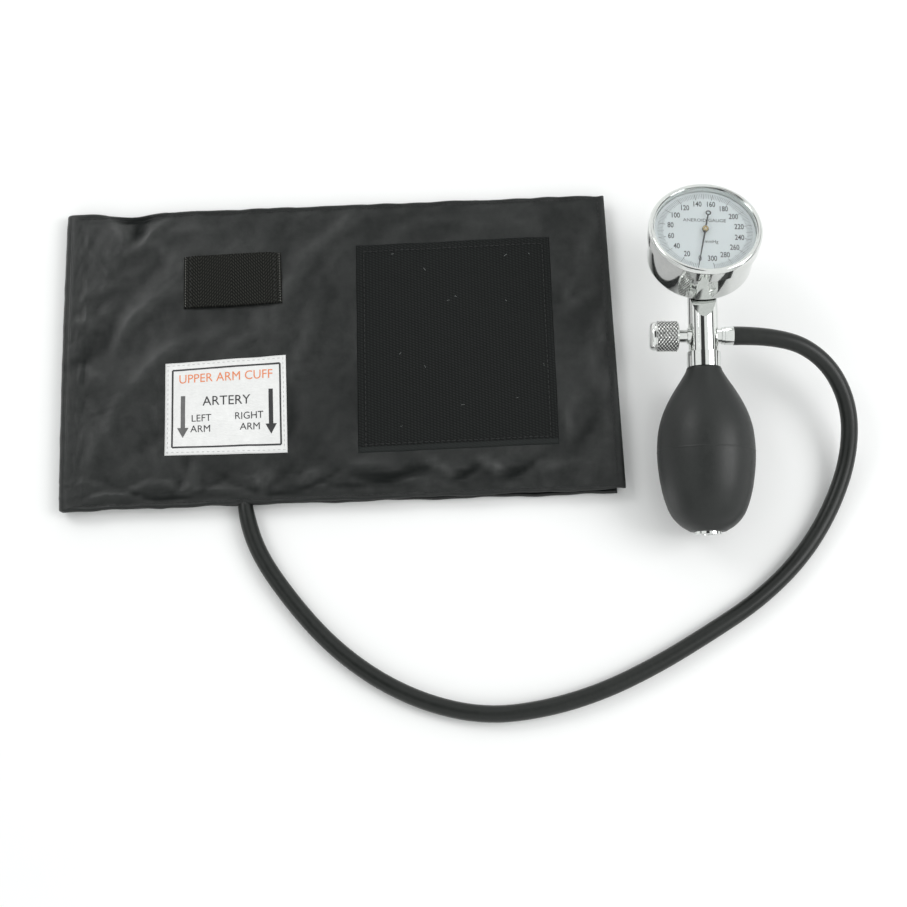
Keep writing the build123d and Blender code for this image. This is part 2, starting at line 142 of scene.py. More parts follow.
def build_handling_marks(tree, given):
    maths = maths_in(tree)
    broad = noise_on(tree, given.outputs["Scale"], 4.0, 0.6)
    fine = noise_on(tree, maths("MULTIPLY", given.outputs["Scale"], 9.0), 3.0, 0.7)
    mask = place_node(tree, "ShaderNodeMapRange", {
        "Value": maths("MULTIPLY", broad, fine), "From Min": 0.12, "From Max": 0.45,
    }).outputs[0]
    amount = maths("MULTIPLY_ADD", mask, given.outputs["Spread"], given.outputs["Least"])
    return {"Mask": mask, "Roughness": amount}


handling_marks = shader_group(
    "handling_marks", {"Scale": 40.0, "Spread": 0.2, "Least": 0.3},
    {"Mask": "NodeSocketFloat", "Roughness": "NodeSocketFloat"}, build_handling_marks,
)


def build_fine_grain(tree, given):
    grain = noise_on(tree, given.outputs["Scale"], 5.0, 0.65)
    bump = place_node(tree, "ShaderNodeBump", {
        "Height": grain, "Strength": given.outputs["Strength"], "Distance": given.outputs["Depth"],
    })
    return {"Height": grain, "Normal": bump.outputs["Normal"]}


fine_grain = shader_group(
    "fine_grain", {"Scale": 900.0, "Strength": 0.3, "Depth": 0.0002},
    {"Height": "NodeSocketFloat", "Normal": "NodeSocketVector"}, build_fine_grain,
)


def new_material(name, **fixed):
    """An empty material with one Principled shader; fixed values go on the shader's own sockets."""
    made = bpy.data.materials.new(name)
    made.use_nodes = True
    tree = made.node_tree
    shader = tree.nodes["Principled BSDF"]
    for label, value in fixed.items():
        shader.inputs[label.replace("_", " ")].default_value = value
    return made, tree, shader


def add_group(tree, group, **values):
    made = tree.nodes.new("ShaderNodeGroup")
    made.node_tree = group
    for label, value in values.items():
        made.inputs[label].default_value = value
    return made


def colour_between(tree, mask, low, high):
    """A colour that runs from low to high as the mask runs from 0 to 1."""
    mix = place_node(tree, "ShaderNodeMix", {0: mask, 6: (*low, 1.0), 7: (*high, 1.0)}, data_type="RGBA")
    return mix.outputs[2]


def join_to(shader, **sources):
    """Links a colour, value or normal to each named input of a shader."""
    for label, source in sources.items():
        shader.id_data.links.new(source, shader.inputs[label.replace("_", " ")])


def finish_material(name, dark, light, marks, grain, **fixed):
    """A worn surface in two close shades.

    Marks are (scale, spread, least roughness) and grain is (scale, strength, depth).
    """
    made, tree, shader = new_material(name, **fixed)
    worn = add_group(tree, handling_marks, **dict(zip(("Scale", "Spread", "Least"), marks)))
    rough = add_group(tree, fine_grain, **dict(zip(("Scale", "Strength", "Depth"), grain)))
    join_to(
        shader, Base_Color=colour_between(tree, worn.outputs["Mask"], dark, light),
        Roughness=worn.outputs["Roughness"], Normal=rough.outputs["Normal"],
    )
    return made


hose_rubber = finish_material(
    "hose_rubber", (0.009, 0.0105, 0.0095), (0.015, 0.017, 0.0155),
    (55.0, 0.14, 0.30), (700.0, 0.15, 0.0001),
    Specular_IOR_Level=0.34,
)

hose_curve = bpy.data.curves.new("rubber_hose", "CURVE")
hose_curve.dimensions = "3D"
hose_curve.bevel_depth = hose_diameter / 2
hose_curve.bevel_resolution = 7
hose_curve.resolution_u = 14
hose_curve.use_fill_caps = True
hose_line = hose_curve.splines.new("NURBS")
hose_line.points.add(len(hose_route) - 1)
for point, place in zip(hose_line.points, hose_route):
    point.co = (*place, 1.0)
hose_line.points[0].radius = 1.13
hose_line.points[1].radius = 1.02
hose_line.points[-1].radius = 0.8
hose_line.order_u = 3
hose_line.use_endpoint_u = True
hose_line.use_smooth = True
hose_curve.materials.append(hose_rubber)
rubber_hose = bpy.data.objects.new("rubber_hose", hose_curve)
scene.collection.objects.link(rubber_hose)
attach(rubber_hose, "monitor")
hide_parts("hose")

# ---- Table and light ------------------------------------------------------------------
# A plain near-white table under a white studio dome, whose dark patch and strips put streaks on
# the plating. Two soft lamps stand at the sides, and a weak card low over the cuff throws light
# up at the gauge.
scene.view_settings.view_transform = "Standard"
table_size = 6.0


def rectangle(name, centre, width, height):
    """One flat face, seen from above."""
    x, y = width / 2, height / 2
    corners = [(centre[0] + a * x, centre[1] + b * y, 0) for a, b in ((-1, -1), (1, -1), (1, 1), (-1, 1))]
    mesh = bpy.data.meshes.new(name)
    mesh.from_pydata(corners, [], [(0, 1, 2, 3)])
    return mesh


table_mesh = rectangle("table", (0.0, 0.0), table_size, table_size)
table = bpy.data.objects.new("table", table_mesh)
scene.collection.objects.link(table)
table_white, table_tree, table_shader = new_material("table_white", Roughness=0.9, Specular_IOR_Level=0.1)
table_grain = add_group(table_tree, fine_grain, Scale=25.0, Strength=0.05, Depth=0.0002)
join_to(table_shader, Base_Color=colour_between(
    table_tree, table_grain.outputs["Height"], (0.90, 0.90, 0.90), (0.93, 0.93, 0.93),
))
table_mesh.materials.append(table_white)

dome = bpy.data.worlds.new("studio_dome")
dome.use_nodes = True
scene.world = dome
sky = dome.node_tree
sky_maths = maths_in(sky)


def soft_mask(value, start, end):
    """A mask that goes softly from 0 at start to 1 at end."""
    return place_node(
        sky, "ShaderNodeMapRange", {"Value": value, "From Min": start, "From Max": end},
        interpolation_type="SMOOTHSTEP",
    ).outputs[0]


facing = place_node(sky, "ShaderNodeTexCoord")
sky_x, sky_y, sky_z = place_node(sky, "ShaderNodeSeparateXYZ", {0: facing.outputs["Generated"]}).outputs
overhead = soft_mask(sky_maths("ABSOLUTE", sky_maths("ADD", sky_x, 0.20)), 0.27, 0.20)
middle_part = soft_mask(sky_maths("ABSOLUTE", sky_y), 0.50, 0.36)
above = sky_maths("GREATER_THAN", sky_z, 0.0)
patch = sky_maths("MULTIPLY", sky_maths("MULTIPLY", overhead, middle_part), above)
strip = sky_maths("MULTIPLY", soft_mask(sky_z, 0.16, 0.24), soft_mask(sky_z, 0.42, 0.34))
strip = sky_maths("MULTIPLY", strip, soft_mask(sky_maths("ABSOLUTE", sky_x), 0.55, 0.75))
background = sky.nodes["Background"]
background.inputs["Strength"].default_value = 1.04
join_to(background, Color=colour_between(
    sky, sky_maths("MAXIMUM", strip, patch), (0.94, 0.96, 0.95), (0.05, 0.05, 0.05),
))


def add_softbox(name, place, size, power):
    """A square lamp that looks at the middle of the monitor."""
    lamp = bpy.data.lights.new(name, "AREA")
    lamp.shape = "SQUARE"
    lamp.size = size
    lamp.energy = power
    box = bpy.data.objects.new(name, lamp)
    box.location = place
    box.rotation_euler = (Vector(place) - view_target).to_track_quat("Z", "Y").to_euler()
    scene.collection.objects.link(box)


add_softbox("softbox_left", (-0.75, 0.55, 0.85), 0.5, 3.2)
add_softbox("softbox_right", (0.9, -0.1, 0.8), 0.6, 5.2)
bounce = bpy.data.lights.new("bounce_card", "AREA")
bounce.shape = "RECTANGLE"
bounce.size, bounce.size_y = 0.088, 0.18
bounce.energy = 0.027
bounce_card = bpy.data.objects.new("bounce_card", bounce)
bounce_card.location = (0.051, 0.0, 0.013)
bounce_card.rotation_euler = (math.pi, 0.0, 0.0)
bounce_card.visible_camera = False
scene.collection.objects.link(bounce_card)

# ---- Cuff -----------------------------------------------------------------------------
# A long flat sleeve of black nylon round a rubber bladder, folded in two at its left end.
# Its edges are turned in and sewn, and the cloth between them lies in loose puckers.


def box_of(node):
    """The low and high corners of one piece of the frame."""
    return tuple(Vector(corner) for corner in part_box(node))


cuff_low, cuff_high = box_of("cuff_upper_half")
under_low, under_high = box_of("cuff_lower_half")
fold_x = cuff_low.x
cuff_width = cuff_high.y - cuff_low.y
upper_length = cuff_high.x - fold_x
lower_length = under_high.x - fold_x
upper_middle = (cuff_high.z + cuff_low.z) / 2
lower_middle = (under_high.z + under_low.z) / 2
fold_middle = (upper_middle + lower_middle) / 2
fold_radius = (upper_middle - lower_middle) / 2
fold_length = math.pi * fold_radius
cloth_length = upper_length + fold_length + lower_length
under_shift = under_low.y - cuff_low.y
half_thick = 1.65 * mm
side_hem = 2.0 * mm
end_hem = 3.4 * mm
cloth_grid = 3.4 * mm
hose_entry = 80.1 * mm


def spaced(length, hem, grid, fine=()):
    """Grid lines from edge to edge, close together at the hems and inside the fine stretches."""
    near = [0.0, 0.35 * hem, 0.75 * hem, hem, 1.45 * hem, 2.2 * hem, 3.3 * hem]
    lines = near + [length - d for d in near]
    start, end = near[-1], length - near[-1]
    count = round((end - start) / grid)
    lines += [start + (end - start) * i / count for i in range(1, count)]
    for low, high, step in fine:
        lines = [line for line in lines if not low < line < high]
        count = round((high - low) / step)
        lines += [low + (high - low) * i / count for i in range(count + 1)]
    return sorted(set(lines))


def smooth_step(value):
    value = min(max(value, 0.0), 1.0)
    return value * value * (3.0 - 2.0 * value)


def from_bend(along_cloth):
    """How far a place on the sleeve is from the stretch that bends round."""
    return abs(along_cloth - upper_length - fold_length / 2) - fold_length / 2


def puff(along_cloth, across_cloth):
    """How thick the sleeve is here: thin at its edges, pinched at the sewn line, then full."""
    away = from_bend(along_cloth)
    at_fold = 1.0 - smooth_step(away / (9.0 * mm))
    at_hose = math.exp(-((away - hose_entry) / (5.0 * mm)) ** 2)
    at_hose *= 1.0 - smooth_step((across_cloth - 8.0 * mm) / (9.0 * mm))
    loose = max(at_fold, at_hose)
    side_gap = min(across_cloth, cuff_width - across_cloth)
    end_gap = min(along_cloth, cloth_length - along_cloth)
    full = 1.0
    for gap, hem in ((side_gap, side_hem), (end_gap, end_hem)):
        if gap < hem:
            rim = math.sqrt(max(0.0, 1.0 - (1.0 - min(gap / (0.5 * hem), 1.0)) ** 2))
            dip = 0.25 * smooth_step((gap / hem - 0.6) / 0.4)
            full = min(full, rim * (0.72 - dip * (1 - loose) + 0.2 * loose))
        else:
            pinch = 0.44 + 0.48 * loose
            full = min(full, pinch + (1 - pinch) * smooth_step((gap - hem) / (5.5 * mm)))
    return full


creases = [
    (-127.5, 76, 72, 8, 3.0, -2.2), (-135.5, 76, -58, 9, 2.5, 1.6), (-119, 76.5, 38, 9, 2.5, 1.4),
    (-128, 83, 0, 9, 2.6, -1.4), (-127.5, 67, 4, 6, 2.2, 0.8), (-119, 68, -30, 20, 3.4, 0.6),
    (-104, 76, 8, 24, 2.6, 0.5),
    (-128, 33, 48, 26, 4.2, 0.9), (-141, 24, 55, 20, 4.0, -0.4), (-117, 12, 40, 26, 4.0, 0.7),
    (-146, 46, 20, 12, 2.6, 0.6), (-149, 30, -18, 11, 2.6, 0.6), (-150, 12, 32, 14, 3.0, -0.6),
    (-147, 5, -25, 10, 2.2, 0.5), (-136, -10, 62, 18, 3.6, 0.45), (-122, -30, 40, 20, 4.0, -0.4),
    (-148, -34, 74, 16, 3.2, 0.5), (-118, -49, 6, 26, 2.2, 0.5), (-112, -55.5, 1, 34, 1.5, -0.9),
    (-60, -54.8, 2, 34, 1.5, -0.8), (-92, -52.0, -3, 26, 1.6, 0.5), (-140, -53.5, 4, 20, 1.8, 0.6),
    (-30, -53.5, -2, 28, 1.6, -0.6), (-8, -50.5, 3, 24, 1.8, 0.4), (-104.5, -41, 80, 7, 1.3, -1.0),
    (-107.5, -50, 60, 7, 1.3, -0.9), (-100, -46, 82, 8, 2.2, 0.6), (-69, -51, 66, 9, 2.2, 0.8),
    (-62, -48, 40, 12, 2.2, -0.5), (-90, 22, 30, 20, 3.6, 0.35), (-70, 30, 78, 16, 3.6, 0.4),
    (-52, 12, 65, 24, 4.2, 0.5), (-45, 62, 48, 22, 4.0, 0.5), (-30, 74, 30, 22, 3.2, 0.45),
    (-38, 34, 80, 24, 4.2, -0.4), (10, 75, 8, 28, 3.0, 0.4), (50, 73, -10, 24, 3.0, 0.35),
    (82, 55, 80, 22, 3.2, 0.55), (84, 10, 75, 26, 3.4, 0.5), (80, -30, 60, 20, 3.4, -0.4),
    (60, -47, 15, 24, 2.8, 0.5), (78, 32, 35, 14, 3.0, 0.6), (-12, -50, 2, 24, 3.2, -1.7),
    (10, -45, -35, 8, 2.6, 1.6), (33, -45.5, -38, 8, 2.6, 1.6), (22, -49.5, 20, 8, 2.4, -1.6),
    (46, -50, 15, 11, 3.0, -1.6), (-24, -44, 8, 12, 2.4, 0.9), (70.5, -26, 86, 11, 1.6, 0.8),
    (74, 36, 62, 9, 1.8, 0.8), (-47, -47, 30, 10, 2.4, 0.9), (-56, -20, 82, 22, 4.5, -0.6),
    (-60, 40, 66, 18, 3.6, 0.8), (-80, 18, 35, 12, 2.6, 0.8), (-30, 78, 40, 9, 2.2, 0.8),
]
crease_gain = 1.25


def crease_height(x, y):
    """Long soft folds of the upper cloth: middle, lean in degrees, half length, width, height."""
    total = 0.0
    for centre_x, centre_y, lean, reach, width, height in creases:
        turn = math.radians(lean)
        offset_x = x / mm - centre_x
        offset_y = y / mm - centre_y
        run = offset_x * math.cos(turn) + offset_y * math.sin(turn)
        away = offset_y * math.cos(turn) - offset_x * math.sin(turn)
        away += 0.012 * run * run * (1 if height > 0 else -1)
        if abs(run) < 1.6 * reach and abs(away) < 4 * width:
            side = away / width
            swell = crease_gain * height * math.exp(-(run / (0.7 * reach)) ** 2)
            total += swell * (1 - 0.6 * side * side) * math.exp(-side * side)
    return total * mm


def fold_over(along_cloth, across_cloth, height):
    """Where a point of the flat sleeve goes once the sleeve is folded round its left end."""
    past_fold = smooth_step((along_cloth - upper_length) / fold_length)
    far_along = max(0.0, along_cloth - upper_length - fold_length) / lower_length
    shift = past_fold * (1.5 * mm + (under_shift - 1.1 * mm) * far_along)
    y = cuff_low.y + across_cloth + shift
    if along_cloth < upper_length:
        return Vector((fold_x + upper_length - along_cloth, y, upper_middle + height))
    turn = (along_cloth - upper_length) / fold_radius
    if turn < math.pi:
        reach = fold_radius + height
        bow = 0.5 * mm + 0.6 * mm * math.sin(math.pi * across_cloth / cuff_width)
        return Vector((fold_x - (reach + bow) * math.sin(turn), y, fold_middle + reach * math.cos(turn)))
    return Vector((fold_x + along_cloth - upper_length - fold_length, y, lower_middle - height))


def add_piece(name, mesh, *materials):
    """A piece at the origin with its materials."""
    for material in materials:
        mesh.materials.append(material)
    piece = bpy.data.objects.new(name, mesh)
    scene.collection.objects.link(piece)
    return piece


def baked(piece):
    """The piece's mesh with its modifiers applied."""
    return bpy.data.meshes.new_from_object(piece.evaluated_get(bpy.context.evaluated_depsgraph_get()))


def grid_faces(columns, rows, start=0, flip=False):
    faces = []
    for i in range(columns - 1):
        for j in range(rows - 1):
            a, b = start + i * rows + j, start + (i + 1) * rows + j
            faces.append((a + 1, b + 1, b, a) if flip else (a, b, b + 1, a + 1))
    return faces


def closed_sheet_faces(columns, rows):
    """The faces of a closed sheet: its top, its underside and the rim that joins them."""
    count = columns * rows
    faces = grid_faces(columns, rows) + grid_faces(columns, rows, start=count, flip=True)
    rim_line = [i * rows for i in range(columns)]
    rim_line += [(columns - 1) * rows + j for j in range(1, rows)]
    rim_line += [i * rows + rows - 1 for i in range(columns - 2, -1, -1)]
    rim_line += [j for j in range(rows - 2, 0, -1)]
    for a, b in zip(rim_line, rim_line[1:] + rim_line[:1]):
        faces.append((a + count, b + count, b, a))
    return faces


fold_stretch = (upper_length - 5.0 * mm, upper_length + fold_length + 5.0 * mm, 0.9 * mm)
dent_stretch = (upper_length - 45.0 * mm, upper_length - 7.0 * mm, 2.2 * mm)
length_lines = spaced(cloth_length, end_hem, cloth_grid, [dent_stretch, fold_stretch])
width_lines = spaced(cuff_width, side_hem, cloth_grid, [(7.0 * mm, 13.0 * mm, 1.5 * mm)])
columns, rows = len(length_lines), len(width_lines)

# The outer cloth settles flat: its sewn lines hold it while it grows a little and buckles.
random.seed(7)
flat_sheet = bpy.data.meshes.new("flat_cloth")
flat_sheet.from_pydata(
    [
        (s, v, half_thick * puff(s, v) + random.uniform(-0.12, 0.12) * mm)
        for s in length_lines for v in width_lines
    ],
    [], grid_faces(columns, rows, flip=True),
)
flat_cloth = add_piece("flat_cloth", flat_sheet)
held = flat_cloth.vertex_groups.new(name="sewn")
for index, vertex in enumerate(flat_sheet.vertices):
    s, v = vertex.co.x, vertex.co.y
    sewn = min(v, cuff_width - v) < side_hem * 1.2 or min(s, cloth_length - s) < end_hem * 1.2
    held.add([index], 1.0 if sewn else 0.85 * (1 - smooth_step(from_bend(s) / (8.0 * mm))), "REPLACE")
nylon_behaviour = {
    "quality": 6, "mass": 0.12, "tension_stiffness": 8.0, "compression_stiffness": 8.0,
    "shear_stiffness": 3.0, "bending_stiffness": 0.06, "air_damping": 3.0, "vertex_group_mass": "sewn",
    "pin_stiffness": 1.0, "shrink_min": -0.012, "shrink_max": -0.012,
}
settle_steps = 20
weave = flat_cloth.modifiers.new("nylon", "CLOTH")
for setting, value in nylon_behaviour.items():
    setattr(weave.settings, setting, value)
weave.settings.effector_weights.gravity = 0.0
weave.collision_settings.use_collision = False
for step in range(1, settle_steps + 1):
    scene.frame_set(step)
heights = [vertex.co.z for vertex in baked(flat_cloth).vertices]
scene.frame_set(1)
flat_cloth.modifiers.clear()
bpy.data.objects.remove(flat_cloth)

bladder_low, bladder_high = box_of("bladder")


def deepest(x, y, base):
    """How far the top cloth may sink: not through its lining, nor onto the bladder."""
    lowest = 0.35 * mm - 2.0 * base
    beside = max(bladder_low.x - x, x - bladder_high.x, bladder_low.y - y, y - bladder_high.y)
    over_bladder = 1.0 - smooth_step((beside - 1.5 * mm) / (5.0 * mm))
    on_bladder = bladder_high.z + 0.3 * mm - upper_middle - base
    return max(lowest, on_bladder - (1.0 - over_bladder) * 2.0 * mm)


def clear_of_hems(s, v, side):
    """0 at the sewn edges of the sleeve and 1 beyond them, reached at this far in from its sides."""
    return smooth_step(min(v, cuff_width - v) / side) * smooth_step(min(s, cloth_length - s) / (5.0 * mm))


most_rise = 1.1 * mm
most_crease = 1.9 * mm
outer, inner, fold_shading = [], [], []
for i, s in enumerate(length_lines):
    on_top = s < upper_length + 2.0 * mm
    for j, v in enumerate(width_lines):
        base = half_thick * puff(s, v)
        change = most_rise * math.tanh((heights[i * rows + j] - base) / most_rise)
        calm = clear_of_hems(s, v, 4.0 * mm)
        if on_top:
            spot = fold_over(s, v, 0.0)
            crease = crease_height(spot.x, spot.y) * clear_of_hems(s, v, 2.2 * mm)
            # Each crease's height is also kept as painted light for the cloth's colour: darker in the hollows,
            # painted shade, and lighter on the ridges, painted highlight.
            fold_shading.append(math.tanh((crease + 0.25 * change * calm) / (1.0 * mm)))
            change = 0.75 * change * calm + crease
            change = min(max(change, deepest(spot.x, spot.y, base)), most_crease)
            hem_wave = 0.35 * mm * math.sin(spot.x * 310 + 2 * math.sin(spot.x * 93)) * (1 - calm)
        else:
            change = min(max(change, -0.7 * mm), 0.15 * mm) * calm
            fold_shading.append(0.0)
            hem_wave = 0.0
        outer.append(fold_over(s, v, base + change + hem_wave))
        inner.append(fold_over(s, v, -half_thick * min(puff(s, v), 0.95)))

# The sides wander a little, and the far corner by the fold is drawn in.
corner_dip = -1.9 * mm
corner_reach = 16 * mm
for points in (outer, inner):
    for i, s in enumerate(length_lines):
        edge_wave = 0.3 * mm * math.sin(s * 140 + 1.3) + 0.18 * mm * math.sin(s * 410)
        for j, v in enumerate(width_lines):
            place = points[i * rows + j]
            share = v / cuff_width
            near_side, far_side = 1 - smooth_step(share / 0.15), smooth_step((share - 0.85) / 0.15)
            place.y += edge_wave * near_side - 0.5 * edge_wave * far_side
            near_top = smooth_step((v - cuff_width + corner_reach) / corner_reach)
            pull = math.exp(-((place.x - (fold_x + 27 * mm)) / (11 * mm)) ** 2)
            lift = 1 - smooth_step((place.x - fold_x - 10 * mm) / (12 * mm))
            place.y += near_top * (corner_dip * pull + 0.3 * mm * lift)

count = columns * rows
cuff_mesh = bpy.data.meshes.new("cuff_sleeve")
cuff_mesh.from_pydata([*outer, *inner], [], [face[::-1] for face in closed_sheet_faces(columns, rows)])
# The painted fold shading is stored on the cloth: painted shade in the crease hollows, painted highlight on the
# ridges.
fold_shade_and_highlight = cuff_mesh.attributes.new("fold_shade_and_highlight", "FLOAT", "POINT")
fold_shade_and_highlight.data.foreach_set("value", fold_shading + [0.0] * count)
weave_map = cuff_mesh.uv_layers.new(name="weave")
for loop in cuff_mesh.loops:
    index = loop.vertex_index % count
    weave_map.data[loop.index].uv = (length_lines[index // rows], width_lines[index % rows])
welded = bmesh.new()
welded.from_mesh(cuff_mesh)
bmesh.ops.remove_doubles(welded, verts=welded.verts, dist=0.02 * mm)
bmesh.ops.recalc_face_normals(welded, faces=welded.faces)
welded.to_mesh(cuff_mesh)
welded.free()
cuff_mesh.shade_smooth()


def build_plain_weave(tree, given):
    where = place_node(tree, "ShaderNodeUVMap", uv_map="weave")
    warp, weft = (
        place_node(tree, "ShaderNodeTexWave", {
            "Vector": where.outputs[0], "Scale": given.outputs["Threads"], "Distortion": 0.6, "Detail": 1.0,
        }, bands_direction=direction).outputs["Fac"]
        for direction in ("X", "Y")
    )
    return {"Height": maths_in(tree)("MULTIPLY", warp, weft)}


plain_weave = shader_group(
    "plain_weave", {"Threads": 700.0}, {"Height": "NodeSocketFloat"}, build_plain_weave,
)

cuff_nylon, nylon_tree, nylon_shader = new_material(
    "cuff_nylon", Sheen_Weight=0.02, Sheen_Roughness=0.45, Specular_IOR_Level=0.38,
)
nylon_maths = maths_in(nylon_tree)
nylon_marks = add_group(nylon_tree, handling_marks, Scale=28.0, Spread=0.10, Least=0.31)
nylon_weave = add_group(nylon_tree, plain_weave, Threads=700.0)
nylon_wrinkle = noise_on(nylon_tree, 36.0, 2.0, 0.5, 0.7)
nylon_bump = place_node(nylon_tree, "ShaderNodeBump", {
    "Height": nylon_maths("MULTIPLY_ADD", nylon_weave.outputs["Height"], 0.04, nylon_wrinkle),
    "Strength": 0.55, "Distance": 0.0024,
})
# The nylon's colour and specular level follow the painted fold shading, darker in the crease hollows and lighter
# on the ridges, mixed with the random handling marks.
nylon_fold_shade = place_node(nylon_tree, "ShaderNodeAttribute", attribute_name="fold_shade_and_highlight").outputs["Fac"]
nylon_wear_and_fold_shade = nylon_maths("MULTIPLY_ADD", nylon_fold_shade, 0.55, nylon_marks.outputs["Mask"], use_clamp=True)
join_to(
    nylon_shader,
    Base_Color=colour_between(nylon_tree, nylon_wear_and_fold_shade, (0.004, 0.0053, 0.005), (0.0145, 0.0162, 0.0155)),
    Specular_IOR_Level=nylon_maths("MULTIPLY_ADD", nylon_fold_shade, 0.27, 0.38),
    Roughness=nylon_marks.outputs["Roughness"], Normal=nylon_bump.outputs["Normal"],
)
cuff_sleeve = add_piece("cuff_sleeve", cuff_mesh, cuff_nylon)
cuff_sleeve.modifiers.new("smooth", "SUBSURF").levels = 1
smooth_mesh = baked(cuff_sleeve)
cuff_sleeve.modifiers.clear()
cuff_sleeve.data = smooth_mesh
cuff_surface = BVHTree.FromObject(cuff_sleeve, bpy.context.evaluated_depsgraph_get())
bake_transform(cuff_sleeve)
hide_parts("cuff_upper_half", "cuff_lower_half")


def cloth_height(x, y):
    """The top of the cuff under a point."""
    hit = cuff_surface.ray_cast(Vector((x, y, 0.05)), Vector((0, 0, -1)))[0]
    return hit.z if hit else cuff_high.z


# ---- Stitches -------------------------------------------------------------------------
# Black thread sewn through the hems of the cuff: short raised stitches, a few millimetres
# apart, along both sides and across the open end.


def open_tree(name, base, counts, numbers, finish, result):
    """A Geometry Nodes tree whose base mesh, counts, numbers and finish are named inputs."""
    tree = bpy.data.node_groups.new(name, "GeometryNodeTree")
    tree.interface.new_socket(base, in_out="INPUT", socket_type="NodeSocketGeometry")
    for kind, values in (("NodeSocketInt", counts), ("NodeSocketFloat", numbers)):
        for label, value in values.items():
            tree.interface.new_socket(label, in_out="INPUT", socket_type=kind).default_value = value
    tree.interface.new_socket(finish, in_out="INPUT", socket_type="NodeSocketMaterial")
    tree.interface.new_socket(result, in_out="OUTPUT", socket_type="NodeSocketGeometry")
    return tree, tree.nodes.new("NodeGroupInput").outputs


def close_tree(tree, shape, finish):
    """Ends a tree: its instances are made real, and it gives them their finish."""
    real = place_node(tree, "GeometryNodeRealizeInstances", {0: shape})
    finished = place_node(tree, "GeometryNodeSetMaterial", {"Geometry": real.outputs[0], "Material": finish})
    tree.links.new(finished.outputs[0], tree.nodes.new("NodeGroupOutput").inputs[0])
    return tree


def thread_stitches():
    """Beads of thread along an edge line: inputs are pitch, length, thickness and the thread."""
    tree, given = open_tree(
        "thread_stitches", "Line", {}, {"Pitch": 0.0026, "Length": 0.0019, "Thickness": 0.0004}, "Thread",
        "Stitches",
    )
    line = place_node(tree, "GeometryNodeMeshToCurve", {"Mesh": given["Line"]})
    spots = place_node(tree, "GeometryNodeCurveToPoints", {
        "Curve": line.outputs[0], "Length": given["Pitch"],
    }, mode="LENGTH")
    bead = place_node(tree, "GeometryNodeMeshUVSphere", {"Segments": 8, "Rings": 5, "Radius": 0.5})
    soft = place_node(tree, "GeometryNodeSetShadeSmooth", {"Geometry": bead.outputs["Mesh"]})
    size = place_node(tree, "ShaderNodeCombineXYZ", {
        "X": given["Length"], "Y": given["Thickness"], "Z": given["Thickness"],
    })
    turn = place_node(tree, "FunctionNodeAlignRotationToVector", {
        "Vector": spots.outputs["Tangent"],
    }, axis="X")
    beads = place_node(tree, "GeometryNodeInstanceOnPoints", {
        "Points": spots.outputs["Points"], "Instance": soft.outputs[0],
        "Rotation": turn.outputs[0], "Scale": size.outputs[0],
    })
    return close_tree(tree, beads.outputs[0], given["Thread"])


stitch_tree = thread_stitches()


def grown(name, base, tree, body, slot, **values):
    """A plain mesh piece made by a node tree from a base mesh, riding on one body."""
    holder = add_piece(name + "_base", base)
    grow = holder.modifiers.new("grow", "NODES")
    grow.node_group = tree
    for item in tree.interface.items_tree:
        if item.item_type == "SOCKET" and item.in_out == "INPUT" and item.name in values:
            grow[item.identifier] = values[item.name]
    made = baked(holder)
    bpy.data.objects.remove(holder)
    made.name = name
    piece = add_piece(name, made)
    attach(piece, body)
    return piece


def line_mesh(name, *lines):
    """Open lines of points as one mesh of edges."""
    points, edges = [], []
    for line in lines:
        edges += [(len(points) + i, len(points) + i + 1) for i in range(len(line) - 1)]
        points += line
    mesh = bpy.data.meshes.new(name)
    mesh.from_pydata(points, edges, [])
    return mesh


def on_cloth(start, end, above, step=2.0 * mm):
    """Points along a straight line, laid on the top of the cuff."""
    start, end = Vector(start), Vector(end)
    count = max(2, round((end - start).length / step))
    line = []
    for i in range(count + 1):
        spot = start.lerp(end, i / count)
        line.append((spot.x, spot.y, cloth_height(spot.x, spot.y) + above))
    return line


black_thread = finish_material(
    "black_thread", (0.004, 0.0045, 0.0045), (0.011, 0.012, 0.012),
    (300.0, 0.15, 0.5), (4000.0, 0.3, 0.0001),
)
far_y, near_y = cuff_high.y - side_hem, cuff_low.y + side_hem
right_x = cuff_high.x - end_hem
hem_lines = line_mesh(
    "hem_lines",
    on_cloth((fold_x + 4 * mm, far_y - 0.4 * mm), (right_x, far_y), 0.02 * mm),
    on_cloth((right_x, far_y), (right_x, near_y), 0.02 * mm),
    on_cloth((right_x, near_y), (fold_x + 4 * mm, near_y + 0.3 * mm), 0.02 * mm),
)
grown(
    "hem_stitches", hem_lines, stitch_tree, "monitor", "cuff_cloth",
    Pitch=0.0027, Length=0.0021, Thickness=0.00042, Thread=black_thread,
)

# ---- Hook patch -----------------------------------------------------------------------
# A square of stiff black hook tape on the upper half. The hooks stand in close upright rows,
# a plain selvedge runs along its near edge, and a line of stitches runs round it.


def across_corners(corners, u, v):
    """A point of a four-cornered patch: near left, near right, far right, far left."""
    near = Vector(corners[0]).lerp(Vector(corners[1]), u)
    far = Vector(corners[3]).lerp(Vector(corners[2]), u)
    return near.lerp(far, v)


